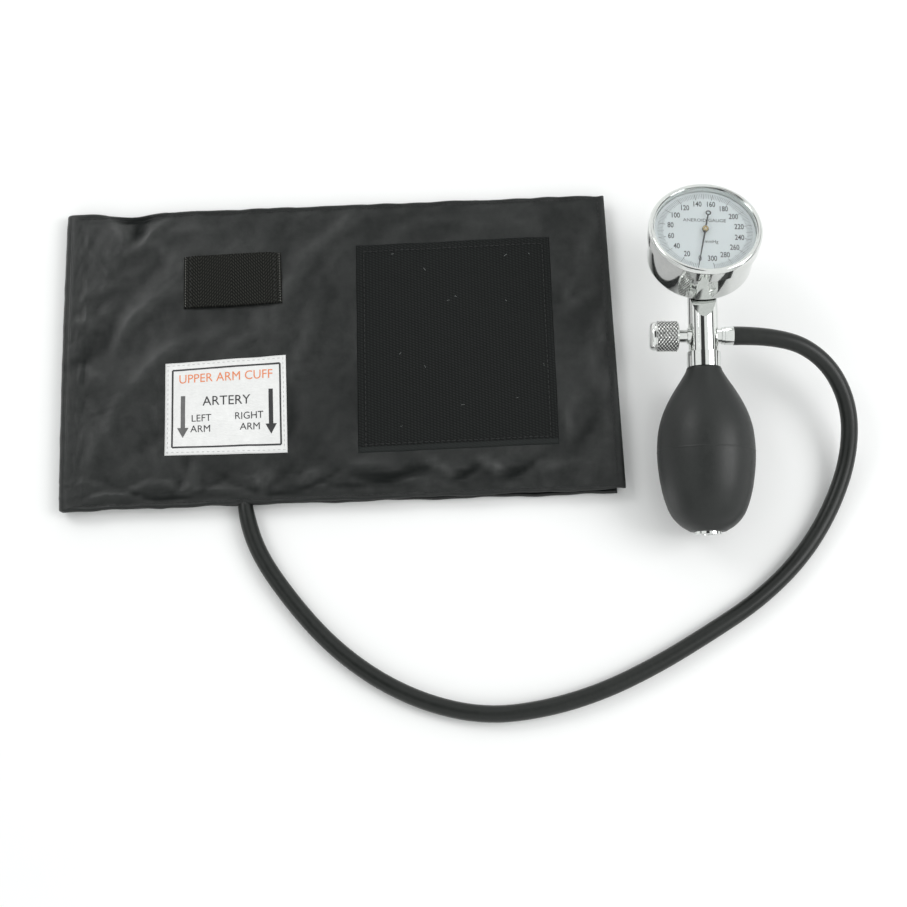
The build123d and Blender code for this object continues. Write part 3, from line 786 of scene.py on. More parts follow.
def cloth_patch(name, corners, thick, step, raised, material):
    """A closed sheet on the cuff's top; raised(u, v, across, along) adds height over the flat."""
    wide = (Vector(corners[1]) - Vector(corners[0])).length
    deep = (Vector(corners[3]) - Vector(corners[0])).length
    columns = max(2, round(wide / step)) + 1
    rows = max(2, round(deep / step)) + 1
    top, bottom, cuts = [], [], []
    for i in range(columns):
        for j in range(rows):
            u, v = i / (columns - 1), j / (rows - 1)
            x, y = across_corners(corners, u, v)
            under = cloth_height(x, y)
            edge = min(i, j, columns - 1 - i, rows - 1 - j)
            rim = 0.35 if edge == 0 else 1.0
            lift = raised(u, v, u * wide, v * deep)
            top.append(Vector((x, y, under + thick * rim + lift)))
            bottom.append(Vector((x, y, under - 0.1 * mm)))
            cuts.append((u * wide, v * deep))
    count = columns * rows
    mesh = bpy.data.meshes.new(name)
    mesh.from_pydata(top + bottom, [], closed_sheet_faces(columns, rows))
    cut = mesh.uv_layers.new(name="cut")
    for loop in mesh.loops:
        cut.data[loop.index].uv = cuts[loop.vertex_index % count]
    mesh.shade_smooth()
    return add_piece(name, mesh, material)


def corners_of(low, high, shifts=((0, 0), (0, 0), (0, 0), (0, 0))):
    """The corners of a box seen from above, each pulled by a few tenths of a millimetre."""
    plain = ((low.x, low.y), (high.x, low.y), (high.x, high.y), (low.x, high.y))
    return [(x + dx * mm, y + dy * mm) for (x, y), (dx, dy) in zip(plain, shifts)]


hook_low, hook_high = box_of("hook_patch")
selvedge = 2.6 * mm


def hook_rows(u, v, x, y):
    """Close upright rows of hooks that stop at the selvedge."""
    if y < selvedge:
        return -0.25 * mm
    row = abs(math.sin(math.pi * x / (1.5 * mm)))
    knot = 0.5 + 0.5 * math.sin(y / (0.42 * mm) + 2.1 * math.sin(x / (1.5 * mm)))
    return (0.20 * row + 0.08 * knot - 0.12) * mm


# A weave mask that is high on the raised thread crests and low between them; the tapes' colours use it as a
# painted highlight on the crests and painted shade between them.
def build_tape_weave(tree, given):
    maths = maths_in(tree)

    def ridges(place, pitch):
        return maths("ABSOLUTE", maths("SINE", maths("MULTIPLY", place, maths("DIVIDE", math.pi, pitch))))

    where = place_node(tree, "ShaderNodeUVMap", uv_map="cut")
    x, y, _ = place_node(tree, "ShaderNodeSeparateXYZ", {0: where.outputs[0]}).outputs
    wide = given.outputs["Band"]
    band = maths("PINGPONG", maths("ADD", x, maths("MULTIPLY", wide, 0.5)), wide)
    rib = ridges(maths("ADD", y, maths("MULTIPLY", band, given.outputs["Lean"])), given.outputs["Rib"])
    yarn = maths("ADD", maths("MULTIPLY", ridges(x, given.outputs["Yarn"]), 0.6), 0.4)
    return {"Mask": maths("POWER", maths("MULTIPLY", rib, yarn), 2.0)}


weave_crest_highlight = shader_group(
    "weave_crest_highlight", {"Band": 0.015, "Lean": 1.2, "Rib": 0.00115, "Yarn": 0.0008}, {"Mask": "NodeSocketFloat"},
    build_tape_weave,
)

hook_tape, hook_tree, hook_shader = new_material("hook_tape", Roughness=0.6, Specular_IOR_Level=0.16)
hook_maths = maths_in(hook_tree)
# The hook tape's colour is lighter on its raised rows, a painted highlight, and darker between them, painted
# shade; its plain selvedge is a lighter band of its own.
hook_crest_highlight = add_group(hook_tree, weave_crest_highlight, Band=1.0, Lean=0.45, Rib=0.0013, Yarn=0.0015)
hook_grain = add_group(hook_tree, fine_grain, Scale=1500.0, Strength=0.9, Depth=0.0006)
hook_cut = place_node(hook_tree, "ShaderNodeSeparateXYZ", {
    0: place_node(hook_tree, "ShaderNodeUVMap", uv_map="cut").outputs[0],
})
at_selvedge = hook_maths("LESS_THAN", hook_cut.outputs["Y"], selvedge)
hook_selvedge_and_crest_highlight = hook_maths("MULTIPLY_ADD", at_selvedge, 0.75, hook_crest_highlight.outputs["Mask"])
join_to(
    hook_shader, Normal=hook_grain.outputs["Normal"],
    Base_Color=colour_between(hook_tree, hook_selvedge_and_crest_highlight, (0.002, 0.0027, 0.0025), (0.017, 0.0195, 0.019)),
)
hook_corners = corners_of(hook_low, hook_high, ((-0.9, -0.7), (-0.6, 0.0), (0.9, 0.7), (0.6, 0.0)))
hook_tape_patch = cloth_patch("hook_tape_patch", hook_corners, 0.75 * mm, 0.62 * mm, hook_rows, hook_tape)
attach(hook_tape_patch, "monitor")
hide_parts("hook_patch")


def stitch_frame(corners, inset, above):
    """A line round a patch, set in from its edges."""
    wide = (Vector(corners[1]) - Vector(corners[0])).length
    deep = (Vector(corners[3]) - Vector(corners[0])).length
    a, b = inset / wide, inset / deep
    turns = [(a, b), (1 - a, b), (1 - a, 1 - b), (a, 1 - b), (a, b)]
    line = []
    for start, end in zip(turns, turns[1:]):
        line += on_cloth(across_corners(corners, *start), across_corners(corners, *end), above)
    return line


grown(
    "hook_stitches", line_mesh("hook_line", stitch_frame(hook_corners, 3.6 * mm, 0.92 * mm)), stitch_tree,
    "monitor", "hook_tape", Pitch=0.0025, Length=0.0020, Thickness=0.00042, Thread=black_thread,
)

# Lint caught on the hooks: short pale fibres.
random.seed(23)
lint_lines = []
for _ in range(13):
    x = random.uniform(hook_low.x + 3 * mm, hook_high.x - 3 * mm)
    y = random.uniform(hook_low.y + 4 * mm, hook_high.y - 3 * mm)
    lean = random.uniform(0, math.tau)
    reach = random.uniform(0.4, 1.3) * mm
    height = cloth_height(x, y) + 1.0 * mm
    line = []
    for k in range(4):
        lean += random.uniform(-0.5, 0.5)
        line.append((x, y, height + 0.08 * mm * (k % 2)))
        x += math.cos(lean) * reach / 3
        y += math.sin(lean) * reach / 3
    lint_lines.append(line)
lint_fibre = finish_material(
    "lint_fibre", (0.24, 0.25, 0.25), (0.42, 0.44, 0.44),
    (200.0, 0.1, 0.8), (3000.0, 0.2, 0.0001),
)
grown(
    "hook_lint", line_mesh("lint_lines", *lint_lines), stitch_tree, "monitor", "hook_tape",
    Pitch=0.0004, Length=0.0006, Thickness=0.00011, Thread=lint_fibre,
)

# ---- Gauge loop -----------------------------------------------------------------------
# A short piece of black herringbone tape sewn to the cuff at its two ends only, so that the
# gauge's clip can slide under it. Pale thread shows at the ends.
loop_low, loop_high = box_of("gauge_tape_loop")
loop_length = loop_high.x - loop_low.x


def herringbone(u, v, x, y):
    """Fine ribs that lean one way and then the other; the middle stands off the cuff."""
    stand = 0.95 * mm * smooth_step(min(u, 1 - u) / 0.14)
    band = abs((u * 3.0 + 0.5) % 2.0 - 1.0) * loop_length / 3
    rib = abs(math.sin(math.pi * (y + 1.2 * band) / (1.7 * mm)))
    tuft = max(0.0, math.sin(x / (0.26 * mm))) * (1 - smooth_step(min(v, 1 - v) / 0.09))
    return stand + 0.26 * mm * rib + 0.3 * mm * tuft


loop_corners = corners_of(loop_low, loop_high, ((-0.2, -0.9), (0.5, -0.3), (0.0, 0.7), (0.0, 0.0)))
woven_tape, tape_tree, tape_shader = new_material("woven_tape", Roughness=0.7, Specular_IOR_Level=0.12)
# The woven tape's colour is lighter on the rib crests, a painted highlight, and nearly black between them, painted
# shade, along the herringbone pattern.
tape_crest_highlight = add_group(tape_tree, weave_crest_highlight, Band=loop_length / 3, Lean=1.2, Rib=0.0017, Yarn=0.0011)
tape_grain = add_group(tape_tree, fine_grain, Scale=3200.0, Strength=0.5, Depth=0.0003)
tape_colour_with_crest_highlight = colour_between(
    tape_tree, tape_crest_highlight.outputs["Mask"], (0.0012, 0.0013, 0.0012), (0.036, 0.037, 0.032),
)
join_to(tape_shader, Base_Color=tape_colour_with_crest_highlight, Normal=tape_grain.outputs["Normal"])
gauge_loop = cloth_patch("gauge_loop", loop_corners, 0.7 * mm, 0.3 * mm, herringbone, woven_tape)
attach(gauge_loop, "monitor")
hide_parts("gauge_tape_loop")

pale_thread = finish_material(
    "pale_thread", (0.16, 0.16, 0.15), (0.36, 0.36, 0.34),
    (300.0, 0.1, 0.6), (3000.0, 0.3, 0.0001),
)
whip_lines = []
for share, inward in ((0.018, 0.07), (0.982, 0.93)):
    ends = [across_corners(loop_corners, share, v) for v in (0.04, 0.97)]
    whip_lines.append(on_cloth(*ends, 0.95 * mm))
    ends = [across_corners(loop_corners, inward, v) for v in (0.04, 0.96)]
    whip_lines.append(on_cloth(*ends, 1.35 * mm))
grown(
    "loop_stitches", line_mesh("whip_lines", *whip_lines[::2]), stitch_tree, "monitor", "woven_tape",
    Pitch=0.0012, Length=0.0006, Thickness=0.0003, Thread=pale_thread,
)
grown(
    "loop_tacks", line_mesh("tack_lines", *whip_lines[1::2]), stitch_tree, "monitor", "woven_tape",
    Pitch=0.0024, Length=0.0018, Thickness=0.00042, Thread=black_thread,
)

# ---- Label ----------------------------------------------------------------------------
# A white satin label sewn on near the artery. It is printed with a thin frame, an orange
# heading, and an arrow for each arm.
label_low, label_high = box_of("artery_label")
label_satin, satin_tree, satin_shader = new_material(
    "label_satin", Sheen_Weight=0.25, Sheen_Roughness=0.4, Specular_IOR_Level=0.4,
)
satin_threads = place_node(satin_tree, "ShaderNodeTexWave", {
    "Vector": place_node(satin_tree, "ShaderNodeTexCoord").outputs["Object"],
    "Scale": 420.0, "Distortion": 0.8, "Detail": 2.0,
}, bands_direction="Y")
satin_marks = add_group(satin_tree, handling_marks, Scale=50.0, Spread=0.15, Least=0.42)
satin_bump = place_node(satin_tree, "ShaderNodeBump", {
    "Height": satin_threads.outputs["Fac"], "Strength": 0.35, "Distance": 0.0002,
})
satin_white = colour_between(
    satin_tree, satin_marks.outputs["Mask"], (0.74, 0.74, 0.735), (0.82, 0.82, 0.815),
)
join_to(
    satin_shader, Base_Color=satin_white, Roughness=satin_marks.outputs["Roughness"],
    Normal=satin_bump.outputs["Normal"],
)
label_thick = 0.3 * mm
label_width = (label_high.x - label_low.x) / mm
label_depth = (label_high.y - label_low.y) / mm


def label_curl(u, v, x, y):
    edge = min(u, 1 - u, v, 1 - v)
    return 0.12 * mm * math.sin(u * 9 + 2) * math.sin(v * 7) * smooth_step(edge / 0.1)


label_corners = corners_of(label_low, label_high, ((0.0, 0.3), (0.0, -0.5), (-0.3, 1.0), (0.0, -1.1)))
label_piece = cloth_patch("printed_label", label_corners, label_thick, 1.1 * mm, label_curl, label_satin)
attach(label_piece, "monitor")
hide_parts("artery_label")
label_surface = BVHTree.FromObject(label_piece, bpy.context.evaluated_depsgraph_get())


def lettering(text, size, centre, squeeze=1.0, heavier=0.0):
    """Letters as a flat mesh in millimetres, centred on a point, their strokes made heavier."""
    curve = bpy.data.curves.new("letters", "FONT")
    curve.body = text
    curve.size = size
    curve.align_x = "CENTER"
    curve.align_y = "CENTER"
    curve.resolution_u = 3
    curve.offset = heavier
    holder = bpy.data.objects.new("letters", curve)
    mesh = bpy.data.meshes.new_from_object(holder)
    bpy.data.objects.remove(holder)
    for vertex in mesh.vertices:
        vertex.co = (vertex.co.x * squeeze + centre[0], vertex.co.y + centre[1], 0.0)
    return mesh


def arrow(x, top, bottom):
    """A down arrow: a straight shaft and a broad head."""
    shaft, head, neck = 1.0, 2.6, bottom + 4.8
    mesh = bpy.data.meshes.new("arrow")
    mesh.from_pydata(
        [
            (x - shaft, top, 0), (x - shaft, neck, 0), (x + shaft, neck, 0), (x + shaft, top, 0),
            (x - head, neck, 0), (x, bottom, 0), (x + head, neck, 0),
        ],
        [], [(0, 1, 2, 3), (4, 5, 6)],
    )
    return mesh


def joined(name, meshes):
    """Several flat meshes as one."""
    all_parts = bmesh.new()
    for mesh in meshes:
        all_parts.from_mesh(mesh)
    result = bpy.data.meshes.new(name)
    all_parts.to_mesh(result)
    all_parts.free()
    return result

longest_edge = 3.0


def printed(name, meshes, tint):
    """Ink on the label: finely cut, then laid just over its surface."""
    flat = joined(name, meshes)
    cut = bmesh.new()
    cut.from_mesh(flat)
    bmesh.ops.triangulate(cut, faces=cut.faces)
    for _ in range(4):
        long_edges = [edge for edge in cut.edges if edge.calc_length() > longest_edge]
        if not long_edges:
            break
        bmesh.ops.subdivide_edges(cut, edges=long_edges, cuts=1)
        bmesh.ops.triangulate(cut, faces=cut.faces)
    for vertex in cut.verts:
        x, y = across_corners(label_corners, vertex.co.x / label_width, 1 + vertex.co.y / label_depth)
        hit = label_surface.ray_cast(Vector((x, y, 0.05)), Vector((0, 0, -1)))[0]
        vertex.co = (x, y, (hit.z if hit else label_high.z) + 0.07 * mm)
    for face in cut.faces:
        if face.normal.z < 0:
            face.normal_flip()
    cut.to_mesh(flat)
    cut.free()
    piece = add_piece(name, flat, tint)
    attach(piece, "monitor")
    return piece


def ink(name, dark, light):
    return finish_material(
        name, dark, light, (260.0, 0.15, 0.5),
        (1500.0, 0.1, 0.00005),
    )


black_ink = ink("black_ink", (0.018, 0.018, 0.020), (0.035, 0.035, 0.038))
grey_ink = ink("grey_ink", (0.10, 0.10, 0.10), (0.15, 0.15, 0.15))
orange_ink = ink("orange_ink", (0.72, 0.20, 0.07), (0.80, 0.28, 0.12))
left, right, top, bottom = 3.4, label_width - 2.8, -3.7, -(label_depth - 3.8)
line_wide = 0.8
middle_x, middle_y = (left + right) / 2, (top + bottom) / 2
printed("label_frame", [
    rectangle("bar", (middle_x, top), right - left, line_wide),
    rectangle("bar", (middle_x, bottom), right - left, line_wide),
    rectangle("bar", (left, middle_y), line_wide, top - bottom),
    rectangle("bar", (right, middle_y), line_wide, top - bottom),
], black_ink)
printed("label_heading", [lettering("UPPER ARM CUFF", 6.0, (27.9, -8.5), 0.93)], orange_ink)
printed("label_words", [
    lettering("ARTERY", 6.3, (28.2, -19.9), 0.97), lettering("LEFT", 4.7, (16.6, -27.8), 0.97),
    lettering("ARM", 4.7, (16.3, -32.9), 0.97), lettering("RIGHT", 4.7, (38.5, -27.5), 0.97),
    lettering("ARM", 4.7, (39.0, -32.7), 0.97), arrow(48.6, -15.5, -36.5),
], black_ink)
printed("label_left_arrow", [arrow(8.2, -16.5, -36.9)], grey_ink)
grey_thread = finish_material(
    "grey_thread", (0.42, 0.42, 0.42), (0.60, 0.60, 0.60),
    (300.0, 0.1, 0.5), (3000.0, 0.3, 0.0001),
)
grown(
    "label_stitches", line_mesh("label_line", stitch_frame(label_corners, 1.3 * mm, 0.36 * mm)), stitch_tree,
    "monitor", "label_satin", Pitch=0.0023, Length=0.0014, Thickness=0.00028, Thread=grey_thread,
)

# ---- Loop face ------------------------------------------------------------------------
# The soft pile that the hooks grip covers the underside of the folded lower half. It is a
# thin brushed fabric sewn on all round.
pile_low, pile_high = box_of("loop_patch")
loop_pile = finish_material(
    "loop_pile", (0.010, 0.011, 0.011), (0.024, 0.026, 0.026),
    (120.0, 0.1, 0.8), (1800.0, 1.0, 0.0008),
    Sheen_Weight=0.3, Sheen_Roughness=0.6, Specular_IOR_Level=0.2,
)
random.seed(31)
pile_step = 1.5 * mm
pile_columns = round((pile_high.x - pile_low.x) / pile_step) + 1
pile_rows = round((pile_high.y - pile_low.y) / pile_step) + 1
pile_top, pile_bottom = [], []
for i in range(pile_columns):
    for j in range(pile_rows):
        x = pile_low.x + (pile_high.x - pile_low.x) * i / (pile_columns - 1)
        y = pile_low.y + (pile_high.y - pile_low.y) * j / (pile_rows - 1)
        edge = min(i, j, pile_columns - 1 - i, pile_rows - 1 - j)
        deep = random.uniform(0.0, 0.22) * mm + (0.3 * mm if edge == 0 else 0.0)
        hit = cuff_surface.ray_cast(Vector((x, y, -0.05)), Vector((0, 0, 1)))[0]
        sewn = 0.2 * mm if edge == 2 else 0.0
        pile_bottom.append((x, y, pile_low.z + deep + sewn))
        pile_top.append((x, y, (hit.z if hit else pile_high.z) + 0.1 * mm))
pile_mesh = bpy.data.meshes.new("loop_face")
pile_mesh.from_pydata(pile_top + pile_bottom, [], closed_sheet_faces(pile_columns, pile_rows))
pile_mesh.shade_smooth()
loop_face = add_piece("loop_face", pile_mesh, loop_pile)
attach(loop_face, "folded_half")
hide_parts("loop_patch")

# ---- Bulb -----------------------------------------------------------------------------
# A hollow moulded rubber squeeze bulb with a faint mould line round its widest part and a
# short neck that grips the chrome collar.
joints = {joint["name"]: joint for joint in frame["joints"]}
side = -Vector(joints["valve_travel"]["axis"])
along = Vector(joints["intake_lift"]["axis"])
up = side.cross(along)
valve_reach = 51.4 * mm
grip_start = Vector(joints["valve_turn"]["pos_m"]) + 10.0 * mm * side - valve_reach * along


def frame_of(across, lengthways, upward, origin):
    """Turns millimetres in a piece's own axes into metres in the shared frame."""
    turn = Matrix((across, lengthways, upward)).transposed().to_4x4()
    return Matrix.Translation(origin) @ turn @ Matrix.Scale(mm, 4)


handset = frame_of(side, along, up, grip_start)


def turned(name, outline, place, axis, steps, material):
    """A lathe-turned piece: outline is (radius, height) in millimetres, from end to end."""
    mesh = bpy.data.meshes.new(name)
    shape = bmesh.new()
    rings = []
    for radius, height in outline:
        ring = []
        count = 1 if radius < 1e-6 else steps
        for k in range(count):
            angle = math.tau * k / steps
            a, b = radius * math.cos(angle), radius * math.sin(angle)
            spot = {"x": (height, a, b), "y": (b, height, a), "z": (a, b, height)}[axis]
            ring.append(shape.verts.new(place @ Vector(spot)))
        rings.append(ring)
    for low, high in zip(rings, rings[1:]):
        for k in range(steps):
            after = (k + 1) % steps
            corners = [low[k % len(low)], low[after % len(low)], high[after % len(high)], high[k % len(high)]]
            corners = list(dict.fromkeys(corners))
            if len(corners) > 2:
                shape.faces.new(corners)
    bmesh.ops.recalc_face_normals(shape, faces=shape.faces)
    shape.to_mesh(mesh)
    shape.free()
    mesh.shade_smooth()
    mesh.set_sharp_from_angle(angle=math.radians(38))
    return add_piece(name, mesh, material)


def smooth_line(points, steps):
    """A smooth line through a few (radius, height) points."""
    line = []
    for k in range(len(points) - 1):
        before, start = points[max(k - 1, 0)], points[k]
        end, after = points[k + 1], points[min(k + 2, len(points) - 1)]
        for step in range(steps):
            t = step / steps
            line.append(tuple(
                0.5 * (
                    2 * b + (c - a) * t + (2 * a - 5 * b + 4 * c - d) * t * t
                    + (3 * b - a - 3 * c + d) * t ** 3
                )
                for a, b, c, d in zip(before, start, end, after)
            ))
    line.append(points[-1])
    return line


bulb_rubber = finish_material(
    "bulb_rubber", (0.010, 0.0115, 0.011), (0.016, 0.018, 0.017),
    (60.0, 0.14, 0.40), (1100.0, 0.25, 0.00012),
    Specular_IOR_Level=0.42,
)
bulb_outside = smooth_line([
    (8.0, -36.5), (12.4, -33.6), (16.4, -28.6), (19.4, -20.0), (21.1, -10.0), (21.6, -1.2),
    (21.0, 7.5), (19.3, 14.4), (16.9, 20.2), (13.6, 26.2), (10.4, 31.2), (8.2, 35.0), (7.8, 36.3),
], 7)
mould_line = -1.4
fine_seam = []
for (r0, h0), (r1, h1) in zip(bulb_outside, bulb_outside[1:]):
    fine_seam.append((r0, h0))
    if min(abs(h0 - mould_line), abs(h1 - mould_line)) < 2.0:
        fine_seam += [(r0 + (r1 - r0) * k / 6, h0 + (h1 - h0) * k / 6) for k in range(1, 6)]
fine_seam.append(bulb_outside[-1])
bulb_wall = [(r + 0.11 * math.exp(-((h - mould_line) / 0.22) ** 2), h) for r, h in fine_seam]
bulb_inside = [(max(r - 2.2, 3.0), h * 0.94) for r, h in bulb_outside[::4]][::-1]
bulb_outline = [(5.5, -36.6), (7.0, -36.7), *bulb_wall, (7.2, 36.7), (5.4, 36.7), *bulb_inside, (5.5, -36.6)]
squeeze_bulb = turned("squeeze_bulb", bulb_outline, handset, "y", 112, bulb_rubber)
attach(squeeze_bulb, "monitor")
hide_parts("bulb")

# ---- Knob -----------------------------------------------------------------------------
# The release valve's round chrome knob: a domed plain cap, then a grip cut with crossed
# diagonal grooves so that it turns between two fingers.
chrome, chrome_tree, chrome_shader = new_material("bright_chrome", Metallic=1.0)
chrome_marks = add_group(chrome_tree, handling_marks, Scale=70.0, Spread=0.05, Least=0.05)
chrome_ripple = add_group(chrome_tree, fine_grain, Scale=90.0, Strength=0.05, Depth=0.0003)
chrome_tint = colour_between(
    chrome_tree, chrome_marks.outputs["Mask"], (0.70, 0.715, 0.70), (0.78, 0.79, 0.775),
)
join_to(
    chrome_shader, Base_Color=chrome_tint, Roughness=chrome_marks.outputs["Roughness"],
    Normal=chrome_ripple.outputs["Normal"],
)


def diamond_knurl():
    """Raises small pyramids on a turned grip and marks the grooves between them for painted shade: inputs are its
    ends, count, lead and height.
    """
    tree, given = open_tree(
        "diamond_knurl", "Grip", {}, {"Start": 0.0, "End": 1.0, "Around": 30.0, "Lead": 1.0, "Height": 0.3},
        "Plating", "Knurled",
    )
    maths = maths_in(tree)
    here = tree.nodes.new("GeometryNodeInputPosition")
    x, y, z = place_node(tree, "ShaderNodeSeparateXYZ", {0: here.outputs[0]}).outputs
    rows_around = maths("MULTIPLY", maths("DIVIDE", maths("ARCTAN2", z, y), math.tau), given["Around"])
    run = maths("DIVIDE", x, given["Lead"])
    one = maths("PINGPONG", maths("ADD", rows_around, run), 0.5)
    other = maths("PINGPONG", maths("SUBTRACT", rows_around, run), 0.5)
    peak = maths("MULTIPLY", maths("MULTIPLY", one, other), 4.0)
    inside = maths("MULTIPLY", maths("GREATER_THAN", x, given["Start"]), maths("LESS_THAN", x, given["End"]))
    lift = maths("MULTIPLY", maths("MULTIPLY", peak, given["Height"]), inside)
    crest = maths("MINIMUM", maths("MULTIPLY", peak, 1.9), 1.0)
    # The grooves between the pyramids are marked for painted shade in the chrome's colour.
    groove_shade = maths("MULTIPLY", maths("SUBTRACT", 1.0, crest), inside)
    outwards = place_node(tree, "ShaderNodeCombineXYZ", {"X": 0.0, "Y": y, "Z": z}).outputs[0]
    outwards = place_node(tree, "ShaderNodeVectorMath", {0: outwards}, operation="NORMALIZE").outputs[0]
    shift = place_node(tree, "ShaderNodeVectorMath", {0: outwards, "Scale": lift}, operation="SCALE")
    moved = place_node(tree, "GeometryNodeSetPosition", {
        "Geometry": given["Grip"], "Offset": shift.outputs[0],
    })
    marked = place_node(tree, "GeometryNodeStoreNamedAttribute", {
        "Geometry": moved.outputs[0], "Name": "groove_shade", "Value": groove_shade,
    }, data_type="FLOAT", domain="POINT")
    return close_tree(tree, marked.outputs[0], given["Plating"])


valve_frame = frame_of(side, along, up, grip_start + valve_reach * along)
knob_out, knob_in = -24.0, -11.2
grip_from, grip_to = -20.9, -11.75
grip_radius = 6.55
grip_steps = 60
knob_cap = [(2.4, knob_out), (4.9, knob_out + 0.15), (6.1, knob_out + 0.9), (6.5, knob_out + 2.0)]
knob_grip = [
    (grip_radius, grip_from + (grip_to - grip_from) * k / grip_steps) for k in range(grip_steps + 1)
]
knob_outline = [
    (0.0, knob_out), *smooth_line(knob_cap, 4), (6.5, -21.5), (6.35, -21.35), (grip_radius, -21.1),
    *knob_grip, (6.5, -11.4), (6.2, knob_in), (3.3, knob_in), (3.2, -11.4), (3.2, -14.4), (1.6, -14.6),
    (1.5, -20.0), (0.0, -20.0),
]
knurled_chrome, knurl_tree, knurl_shader = new_material("knurled_chrome", Metallic=1.0)
knurl_marks = add_group(knurl_tree, handling_marks, Scale=70.0, Spread=0.06, Least=0.08)
# Painted shade: the chrome's colour turns nearly black down in the knurl's grooves.
knurl_groove_shade = place_node(knurl_tree, "ShaderNodeAttribute", attribute_name="groove_shade")
knurl_tint_with_groove_shade = colour_between(
    knurl_tree, knurl_groove_shade.outputs["Fac"], (0.76, 0.77, 0.755), (0.045, 0.046, 0.045),
)
join_to(knurl_shader, Base_Color=knurl_tint_with_groove_shade, Roughness=knurl_marks.outputs["Roughness"])
plain_knob = turned("plain_knob", knob_outline, Matrix.Identity(4), "x", 180, chrome)
knob_base = plain_knob.data.copy()
bpy.data.objects.remove(plain_knob)
knurled_knob = grown(
    "knurled_knob", knob_base, diamond_knurl(), "knob", "bright_chrome",
    Start=grip_from + 0.02, End=grip_to - 0.02, Around=20.0, Lead=1.5, Height=0.55, Plating=knurled_chrome,
)
knurled_knob.data.transform(valve_frame)
knurled_knob.data.set_sharp_from_angle(angle=math.radians(24))
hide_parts("valve_knob")

# ---- Dial -----------------------------------------------------------------------------
# The gauge's card: pale enamelled metal, printed with fine strokes every 2 mmHg and upright
# numbers every 20 mmHg up to 300, running clockwise from the foot.
dial_up = Vector(joints["sector_turn"]["axis"])
if dial_up.z < 0:
    dial_up = -dial_up
dial_far = Vector(joints["rocker_turn"]["axis"])
dial_far = (dial_far - dial_far.dot(dial_up) * dial_up).normalized()
dial_right = dial_far.cross(dial_up)
gauge_front = Vector(joints["pointer_turn"]["pos_m"]) + 10.6 * mm * dial_up
gauge = frame_of(dial_right, dial_far, dial_up, gauge_front)
dial_top = -3.6
scale_turn = 340.0
scale_zero = -170.0
full_scale = 300

dial_white, dial_tree, dial_shader = new_material("dial_white", Specular_IOR_Level=0.45, Coat_Weight=0.2)
dial_marks = add_group(dial_tree, handling_marks, Scale=60.0, Spread=0.1, Least=0.32)
join_to(
    dial_shader, Roughness=dial_marks.outputs["Roughness"],
    Base_Color=colour_between(dial_tree, dial_marks.outputs["Mask"], (0.91, 0.97, 0.98), (0.94, 0.99, 1.0)),
)
card_radius, card_hole, card_foot = 22.35, 0.9, dial_top - 0.45
dial_card = turned("dial_card", [
    (card_hole, card_foot), (22.3, card_foot), (card_radius, dial_top - 0.4), (card_radius, dial_top - 0.06),
    (22.28, dial_top), (card_hole, dial_top), (card_hole, card_foot),
], gauge, "z", 120, dial_white)
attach(dial_card, "monitor")
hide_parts("gauge_dial")


def scale_strokes():
    """Fine strokes round an arc: inputs are count, start, step, inner and outer radius, width."""
    tree, given = open_tree(
        "scale_strokes", "Card", {"Count": 10},
        {"First": 0.0, "Step": 0.1, "Middle": 18.0, "Long": 2.0, "Wide": 0.1, "Top": 0.0}, "Ink", "Strokes",
    )
    maths = maths_in(tree)
    row = place_node(tree, "GeometryNodeMeshLine", {"Count": given["Count"], "Offset": (0, 0, 0)})
    index = tree.nodes.new("GeometryNodeInputIndex").outputs[0]
    angle = maths("ADD", given["First"], maths("MULTIPLY", index, given["Step"]))
    spot = place_node(tree, "ShaderNodeCombineXYZ", {
        "X": maths("MULTIPLY", maths("SINE", angle), given["Middle"]),
        "Y": maths("MULTIPLY", maths("COSINE", angle), given["Middle"]), "Z": given["Top"],
    })
    placed = place_node(tree, "GeometryNodeSetPosition", {
        "Geometry": row.outputs[0], "Position": spot.outputs[0],
    })
    bar = place_node(tree, "GeometryNodeMeshGrid", {
        "Size X": given["Wide"], "Size Y": given["Long"], "Vertices X": 2, "Vertices Y": 2,
    })
    lean = place_node(tree, "ShaderNodeCombineXYZ", {"Z": maths("MULTIPLY", angle, -1.0)})
    strokes = place_node(tree, "GeometryNodeInstanceOnPoints", {
        "Points": placed.outputs[0], "Instance": bar.outputs[0], "Rotation": lean.outputs[0],
    })
    return close_tree(tree, strokes.outputs[0], given["Ink"])


dial_ink = ink("dial_ink", (0.030, 0.034, 0.040), (0.050, 0.055, 0.062))
pale_ink = ink("pale_ink", (0.13, 0.155, 0.17), (0.18, 0.205, 0.22))
stroke_tree = scale_strokes()
ink_top = dial_top + 0.06
for name, every, middle, long, wide, tint in (
    ("fine_strokes", 2, 19.75, 2.5, 0.14, pale_ink), ("tens_strokes", 10, 19.55, 2.9, 0.17, pale_ink),
    ("twenties_strokes", 20, 19.4, 3.2, 0.22, dial_ink),
):
    strokes = grown(
        name, bpy.data.meshes.new(name), stroke_tree, "monitor", "dial_white", Count=full_scale // every + 1,
        First=math.radians(scale_zero), Step=math.radians(scale_turn * every / full_scale),
        Middle=middle, Long=long, Wide=wide, Top=ink_top + 0.004 * every / 2, Ink=tint,
    )
    strokes.data.transform(gauge)
numbers = []
number_reach = 15.4
for value in range(0, full_scale + 1, 20):
    angle = math.radians(scale_zero + scale_turn * value / full_scale)
    spot = (number_reach * math.sin(angle), number_reach * math.cos(angle))
    numbers.append(lettering(str(value), 4.1, spot, 0.68, 0.045))
numbers.append(lettering("ANEROID GAUGE", 2.5, (0.0, 6.0), 0.95))
numbers.append(lettering("mmHg", 2.5, (2.6, -5.8), 0.9))
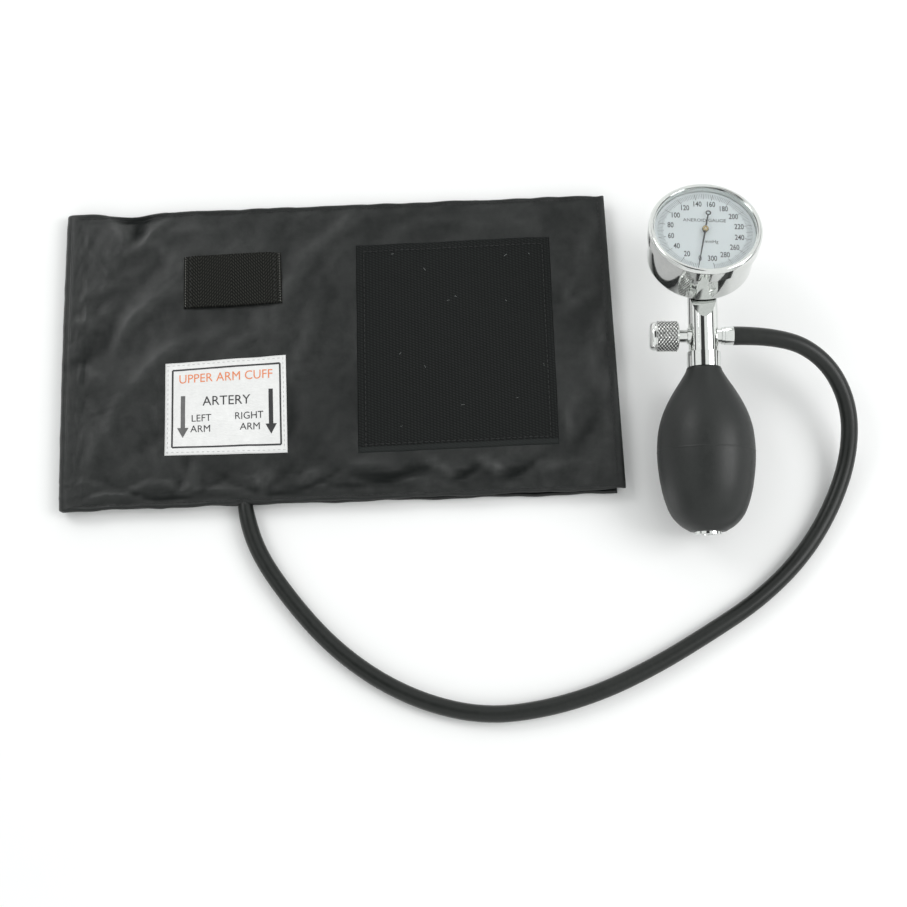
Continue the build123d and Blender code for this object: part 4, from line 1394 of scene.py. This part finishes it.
dial_numbers = joined("dial_numbers", numbers)
for vertex in dial_numbers.vertices:
    vertex.co.z = ink_top
dial_numbers.transform(gauge)
dial_numbers_piece = add_piece("dial_numbers", dial_numbers, dial_ink)
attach(dial_numbers_piece, "monitor")

# ---- Lens -----------------------------------------------------------------------------
# A clear flat window held in the bezel over the dial. It keeps the frame's shape, and its
# polish is broken only by faint wiping marks.
clear_glass, glass_tree, glass_shader = new_material(
    "clear_glass", Transmission_Weight=1.0, IOR=1.46, Base_Color=(0.985, 0.995, 1.0, 1.0),
)
glass_marks = add_group(glass_tree, handling_marks, Scale=45.0, Spread=0.012, Least=0.0)
join_to(glass_shader, Roughness=glass_marks.outputs["Roughness"])

# ---- Metal, rubber and card inside ----------------------------------------------------
# The chrome fittings, the brass movement, the steel arbors and the rubber seals and bladder
# keep their turned and cut shapes, and take the finish that each has in use.
brass = finish_material(
    "brass", (0.42, 0.33, 0.17), (0.55, 0.44, 0.23),
    (120.0, 0.15, 0.2), (900.0, 0.12, 0.0001), Metallic=1.0,
)
steel = finish_material(
    "steel", (0.42, 0.42, 0.43), (0.55, 0.55, 0.56),
    (140.0, 0.15, 0.22), (1200.0, 0.12, 0.0001), Metallic=1.0,
)
pointer_black = finish_material(
    "pointer_black", (0.010, 0.010, 0.011), (0.022, 0.022, 0.024),
    (200.0, 0.2, 0.3), (1500.0, 0.1, 0.00005),
)
finishes = {
    "cuff_cloth": cuff_nylon, "loop_pile": loop_pile, "hook_tape": hook_tape, "woven_tape": woven_tape,
    "label_satin": label_satin, "black_rubber": bulb_rubber, "hose_rubber": hose_rubber,
    "bright_chrome": chrome, "brass": brass, "steel": steel, "clear_glass": clear_glass,
    "dial_white": dial_white, "pointer_black": pointer_black,
}
node_slots = {part["node"]: part["material_slot"] for part in frame["record"]["subparts"]}
for node_name, node in frame["nodes"].items():
    finish = finishes[node_slots[node_name]]
    for material_slot in node.material_slots:
        material_slot.material = finish
    if not node.material_slots:
        node.data.materials.append(finish)
